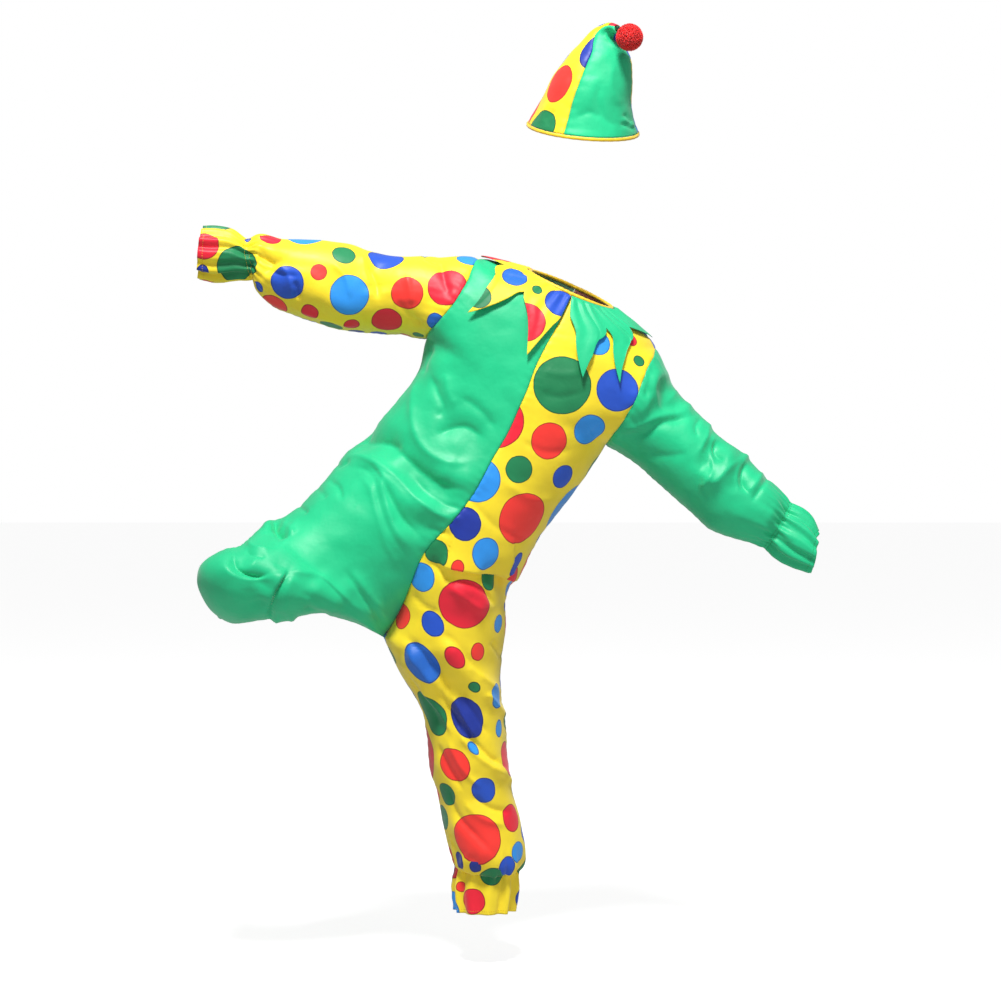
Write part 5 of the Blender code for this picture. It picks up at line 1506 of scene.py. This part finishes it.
def build_hat(cloth):
    rest, final, normal = dress_hat()
    count = rest.shape[1]
    for gore in range(HAT_GORES):
        columns = np.arange(gore * GORE_COLUMNS, (gore + 1) * GORE_COLUMNS + 1) % count
        node = f"hat_gore_{gore + 1}"
        outer = pulled_in(final[:, columns], ["first", "last"], SEAM_GAP)
        parts = (rest[:, columns], outer, normal[:, columns])
        if gore % 2 == 0:
            made = add_shell(node, *parts, cloth["green"], "green")
        else:
            dots = scatter_dots(node, *parts, 60 + gore)
            made = add_shell(node, *parts, cloth["dotted"], "dotted", dots=dots)
    brim = hat_rings(np.array([0.0, 0.2]), np.linspace(0, 2 * np.pi, TUBE_POINTS + 1)[:-1])
    down = unit(brim[0] - brim[1])
    inwards = unit(brim[0].mean(axis=0) - brim[0])
    centre = brim[0] + down * (HAT_BAND_RADIUS + 0.5) + inwards * 0.75
    uneven = pleat_wave(np.arange(TUBE_POINTS) / TUBE_POINTS, 38, 8)
    wide = HAT_BAND_RADIUS * 0.8 + 0.12 * uneven
    high = HAT_BAND_RADIUS + 0.12 * uneven
    tube("hat_band_cloth", centre, -down, wide, high, cloth["binding"], "hat_band")


def build_pompom(material):
    """A ball of short yarn strands round a soft core."""
    random = np.random.default_rng(7)
    steps = np.arange(POMPOM_STRANDS) + 0.5
    tall = 1 - 2 * steps / POMPOM_STRANDS
    turn = steps * math.pi * (3 - math.sqrt(5))
    ring = np.sqrt(1 - tall**2)
    way = np.stack([ring * np.cos(turn), ring * np.sin(turn), tall], axis=-1)
    way = unit(way + random.normal(0, 0.035, way.shape))
    bend = unit(way + random.normal(0, 0.16, way.shape))
    tips = bend * (POMPOM_REACH - np.abs(random.normal(0, 0.5, len(way))))[:, None]
    side = unit(np.cross(way, random.normal(size=way.shape)))
    other = np.cross(way, side)
    rings = []
    for share, radius in ((0.0, 0.52), (0.7, 0.5), (1.0, 0.26)):
        centre = way * (POMPOM_CORE - 1.5) * (1 - share) + tips * share
        for k in range(3):
            angle = 2 * math.pi * k / 3
            rings.append(centre + (side * math.cos(angle) + other * math.sin(angle)) * radius)
    verts = np.stack(rings, axis=1).reshape(-1, 3) + POMPOM_CENTRE
    base = np.arange(POMPOM_STRANDS)[:, None] * 9
    pattern = []
    for level in (0, 3):
        for k in range(3):
            pattern.append((level + k, level + (k + 1) % 3, level + 3 + (k + 1) % 3, level + 3 + k))
    faces = (base[:, None] + np.array(pattern)[None]).reshape(-1, 4)
    caps = base + np.array([[6, 7, 8]])
    made = add_mesh("pompom_yarn", verts, faces.tolist() + caps.tolist(), material, smooth=False)
    ball_verts, ball_faces = ball(POMPOM_CORE, 40, 24)
    shape = add_mesh("pompom_core", ball_verts + POMPOM_CENTRE, ball_faces, material)
    for piece in (made, shape):
        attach(piece, "root")
    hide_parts("pompom")


def ball(radius, around, down):
    """A rounded ball as rings between two poles."""
    verts, faces = [(0.0, 0.0, radius)], []
    for i in range(1, down):
        tilt = math.pi * i / down
        for k in range(around):
            turn = 2 * math.pi * k / around
            flat = radius * math.sin(tilt)
            verts.append((flat * math.cos(turn), flat * math.sin(turn), radius * math.cos(tilt)))
    verts.append((0.0, 0.0, -radius))
    for k in range(around):
        beside = (k + 1) % around
        faces.append((0, 1 + k, 1 + beside))
        faces.append((len(verts) - 1, len(verts) - 1 - around + beside, len(verts) - 1 - around + k))
        for i in range(down - 2):
            a, b = 1 + i * around, 1 + (i + 1) * around
            faces.append((a + k, b + k, b + beside, a + beside))
    return np.array(verts), faces


def stitches(name, line, out, material):
    """A row of short stitches along a line on the cloth."""
    along = lengths(line[:, None], 0)[:, 0]
    starts = np.arange(STITCH_STEP / 2, along[-1] - STITCH_LENGTH, STITCH_STEP)
    verts, faces = [], []
    for start in starts:
        ends = [
            np.array([np.interp(start + more, along, line[:, k]) for k in range(3)])
            for more in (0.0, STITCH_LENGTH)
        ]
        middle = start + STITCH_LENGTH / 2
        up = unit(np.array([np.interp(middle, along, out[:, k]) for k in range(3)]))
        way = unit(ends[1] - ends[0])
        side = np.cross(way, up) * THREAD_HALF
        arch = (
            (ends[0], -THREAD_SINK),
            (ends[0] + way * THREAD_SLOPE, THREAD_RISE),
            (ends[1] - way * THREAD_SLOPE, THREAD_RISE),
            (ends[1], -THREAD_SINK),
        )
        a = len(verts)
        for end, rise in arch:
            verts += [end + side + up * rise, end - side + up * rise]
        faces += [(a + k, a + k + 1, a + k + 3, a + k + 2) for k in (0, 2, 4)]
    made = add_mesh(name, np.array(verts), faces, material, smooth=False)
    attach(made, "root")


def build_suit(cloth):
    """The body's four panels, the two sleeves and the collar."""
    rest, normals, folded, final, rows_of = dress_body()
    looks = {
        "front_right": "green",
        "back_right": "green",
        "front_left": "dotted",
        "back_left": "dotted",
        "sleeve_right": "dotted",
        "sleeve_left": "green",
        "collar_right": "dotted",
        "collar_left": "green",
    }
    for number, (name, grid) in enumerate(final.items()):
        outer = pulled_in(grid, ["first", "last"], SEAM_GAP)
        add_piece(name, rest[name], outer, normals[name], looks[name], cloth, 40 + number)
    for side, rows_table, seed in (("right", RIGHT_SLEEVE, 70), ("left", LEFT_SLEEVE, 80)):
        loops = [armhole_loop(grids, side) for grids in (rest, folded, final)]
        flat, grid, normal, beyond = dress_sleeve(rows_table, *loops, seed)
        outer = pulled_in(grid, ["top"], SEAM_GAP)
        name = f"sleeve_{side}"
        add_piece(name, flat, outer, normal, looks[name], cloth, seed, closed=True)
        hem(f"{name}_hem_stitches", outer, normal, beyond, looks[name], cloth)
    for side in ("right", "left"):
        for panel in ("front", "back"):
            name = f"{panel}_{side}"
            beyond = rows_of[side]["beyond"]
            hem(f"{name}_hem_stitches", final[name], normals[name], beyond, looks[name], cloth, False)
    for side, rows_table in (("right", RIGHT_COLLAR), ("left", LEFT_COLLAR)):
        name = f"collar_{side}"
        grid, normal = collar_grid(folded, normals, side, rows_table)
        add_piece(name, grid, grid, normal, looks[name], cloth, 90)
    build_binding(folded, cloth["binding"])


def hem(name, grid, normal, beyond, look, cloth, closed=True):
    """Two rows of stitches over the elastic and one along the hem."""
    thread = "thread_yellow" if look == "dotted" else "thread_green"
    for number, distance in enumerate((-2.5, 2.5, beyond[-1] - 6)):
        row = int(np.argmin(np.abs(beyond - distance)))
        line, out = grid[row], normal[row]
        if closed:
            line = np.concatenate([line, line[:1]])
            out = np.concatenate([out, out[:1]])
        stitches(f"{name}_{number + 1}", line, out, cloth[thread])


def add_piece(name, rest, outer, normal, look, cloth, seed, closed=False):
    dots = scatter_dots(name, rest, outer, normal, seed) if look == "dotted" else None
    made = add_shell(name, rest, outer, normal, cloth[look], look, closed, dots)


def area_light(name, place, size, power):
    """A round soft lamp that faces the costume."""
    data = bpy.data.lights.new(name, "AREA")
    data.shape = "DISK"
    data.size = size
    data.energy = power
    made = add_object(name, data)
    made.location = place
    made.rotation_euler = (Vector(LIT_PLACE) - Vector(place)).to_track_quat("-Z", "Y").to_euler()


def studio():
    """A pale floor, soft light from above and in front, and the photograph's viewing angle."""
    scene = bpy.context.scene
    mesh = bpy.data.meshes.new("floor")
    ways = ((-1, -1), (1, -1), (1, 1), (-1, 1))
    corners = [(FLOOR_HALF * x, FLOOR_HALF * y, FLOOR_HEIGHT) for x, y in ways]
    mesh.from_pydata(corners, [], [(0, 1, 2, 3)])
    floor = add_object("floor", mesh)
    made, tree, shader = new_material("pale_floor")
    shader.inputs["Base Color"].default_value = (0.55, 0.55, 0.55, 1.0)
    shader.inputs["Roughness"].default_value = 0.9
    shader.inputs["Emission Color"].default_value = (1.0, 1.0, 1.0, 1.0)
    glow = add_node(tree, "ShaderNodeLightPath").outputs["Is Camera Ray"]
    tree.links.new(calc(tree, "MULTIPLY", glow, 0.8), shader.inputs["Emission Strength"])
    mesh.materials.append(made)
    world = bpy.data.worlds.new("studio")
    scene.world = world
    world.use_nodes = True
    tree = world.node_tree
    light = tree.nodes["Background"]
    light.inputs["Color"].default_value = (1.0, 1.0, 1.0, 1.0)
    light.inputs["Strength"].default_value = 0.27
    seen = add_node(tree, "ShaderNodeBackground", {"Color": (1.0, 1.0, 1.0, 1.0), "Strength": 1.0})
    direct = add_node(tree, "ShaderNodeLightPath").outputs["Is Camera Ray"]
    both = add_node(tree, "ShaderNodeMixShader", {0: direct, 1: light.outputs[0], 2: seen.outputs[0]})
    tree.links.new(both.outputs[0], tree.nodes["World Output"].inputs["Surface"])
    for name, (place, size, power) in LAMPS.items():
        area_light(name, place, size, power)
    camera = bpy.data.cameras.new("camera")
    camera.sensor_width = 36
    camera.lens = 36 * -CAMERA_AT[1] / (PICTURE_WIDTH * UNIT)
    made = add_object("camera", camera)
    made.location = tuple(CAMERA_AT * MM)
    made.rotation_euler = (math.pi / 2, 0, 0)
    scene.camera = made
    scene.view_settings.view_transform = "Standard"


studio()
cloth = {
    "green": satin("green_satin", "green"),
    "dotted": satin("dotted_satin", "ground", dotted=True),
    "binding": plain_cloth("yellow_binding", "binding", 0.5, 0.3),
    "pompom": plain_cloth("red_yarn", "pompom", 0.92, 0.5),
    "thread_green": plain_cloth("green_thread", "thread_green", 0.6, 0.2),
    "thread_yellow": plain_cloth("yellow_thread", "thread_yellow", 0.6, 0.2),
}
build_suit(cloth)
build_hat(cloth)
build_pompom(cloth["pompom"])
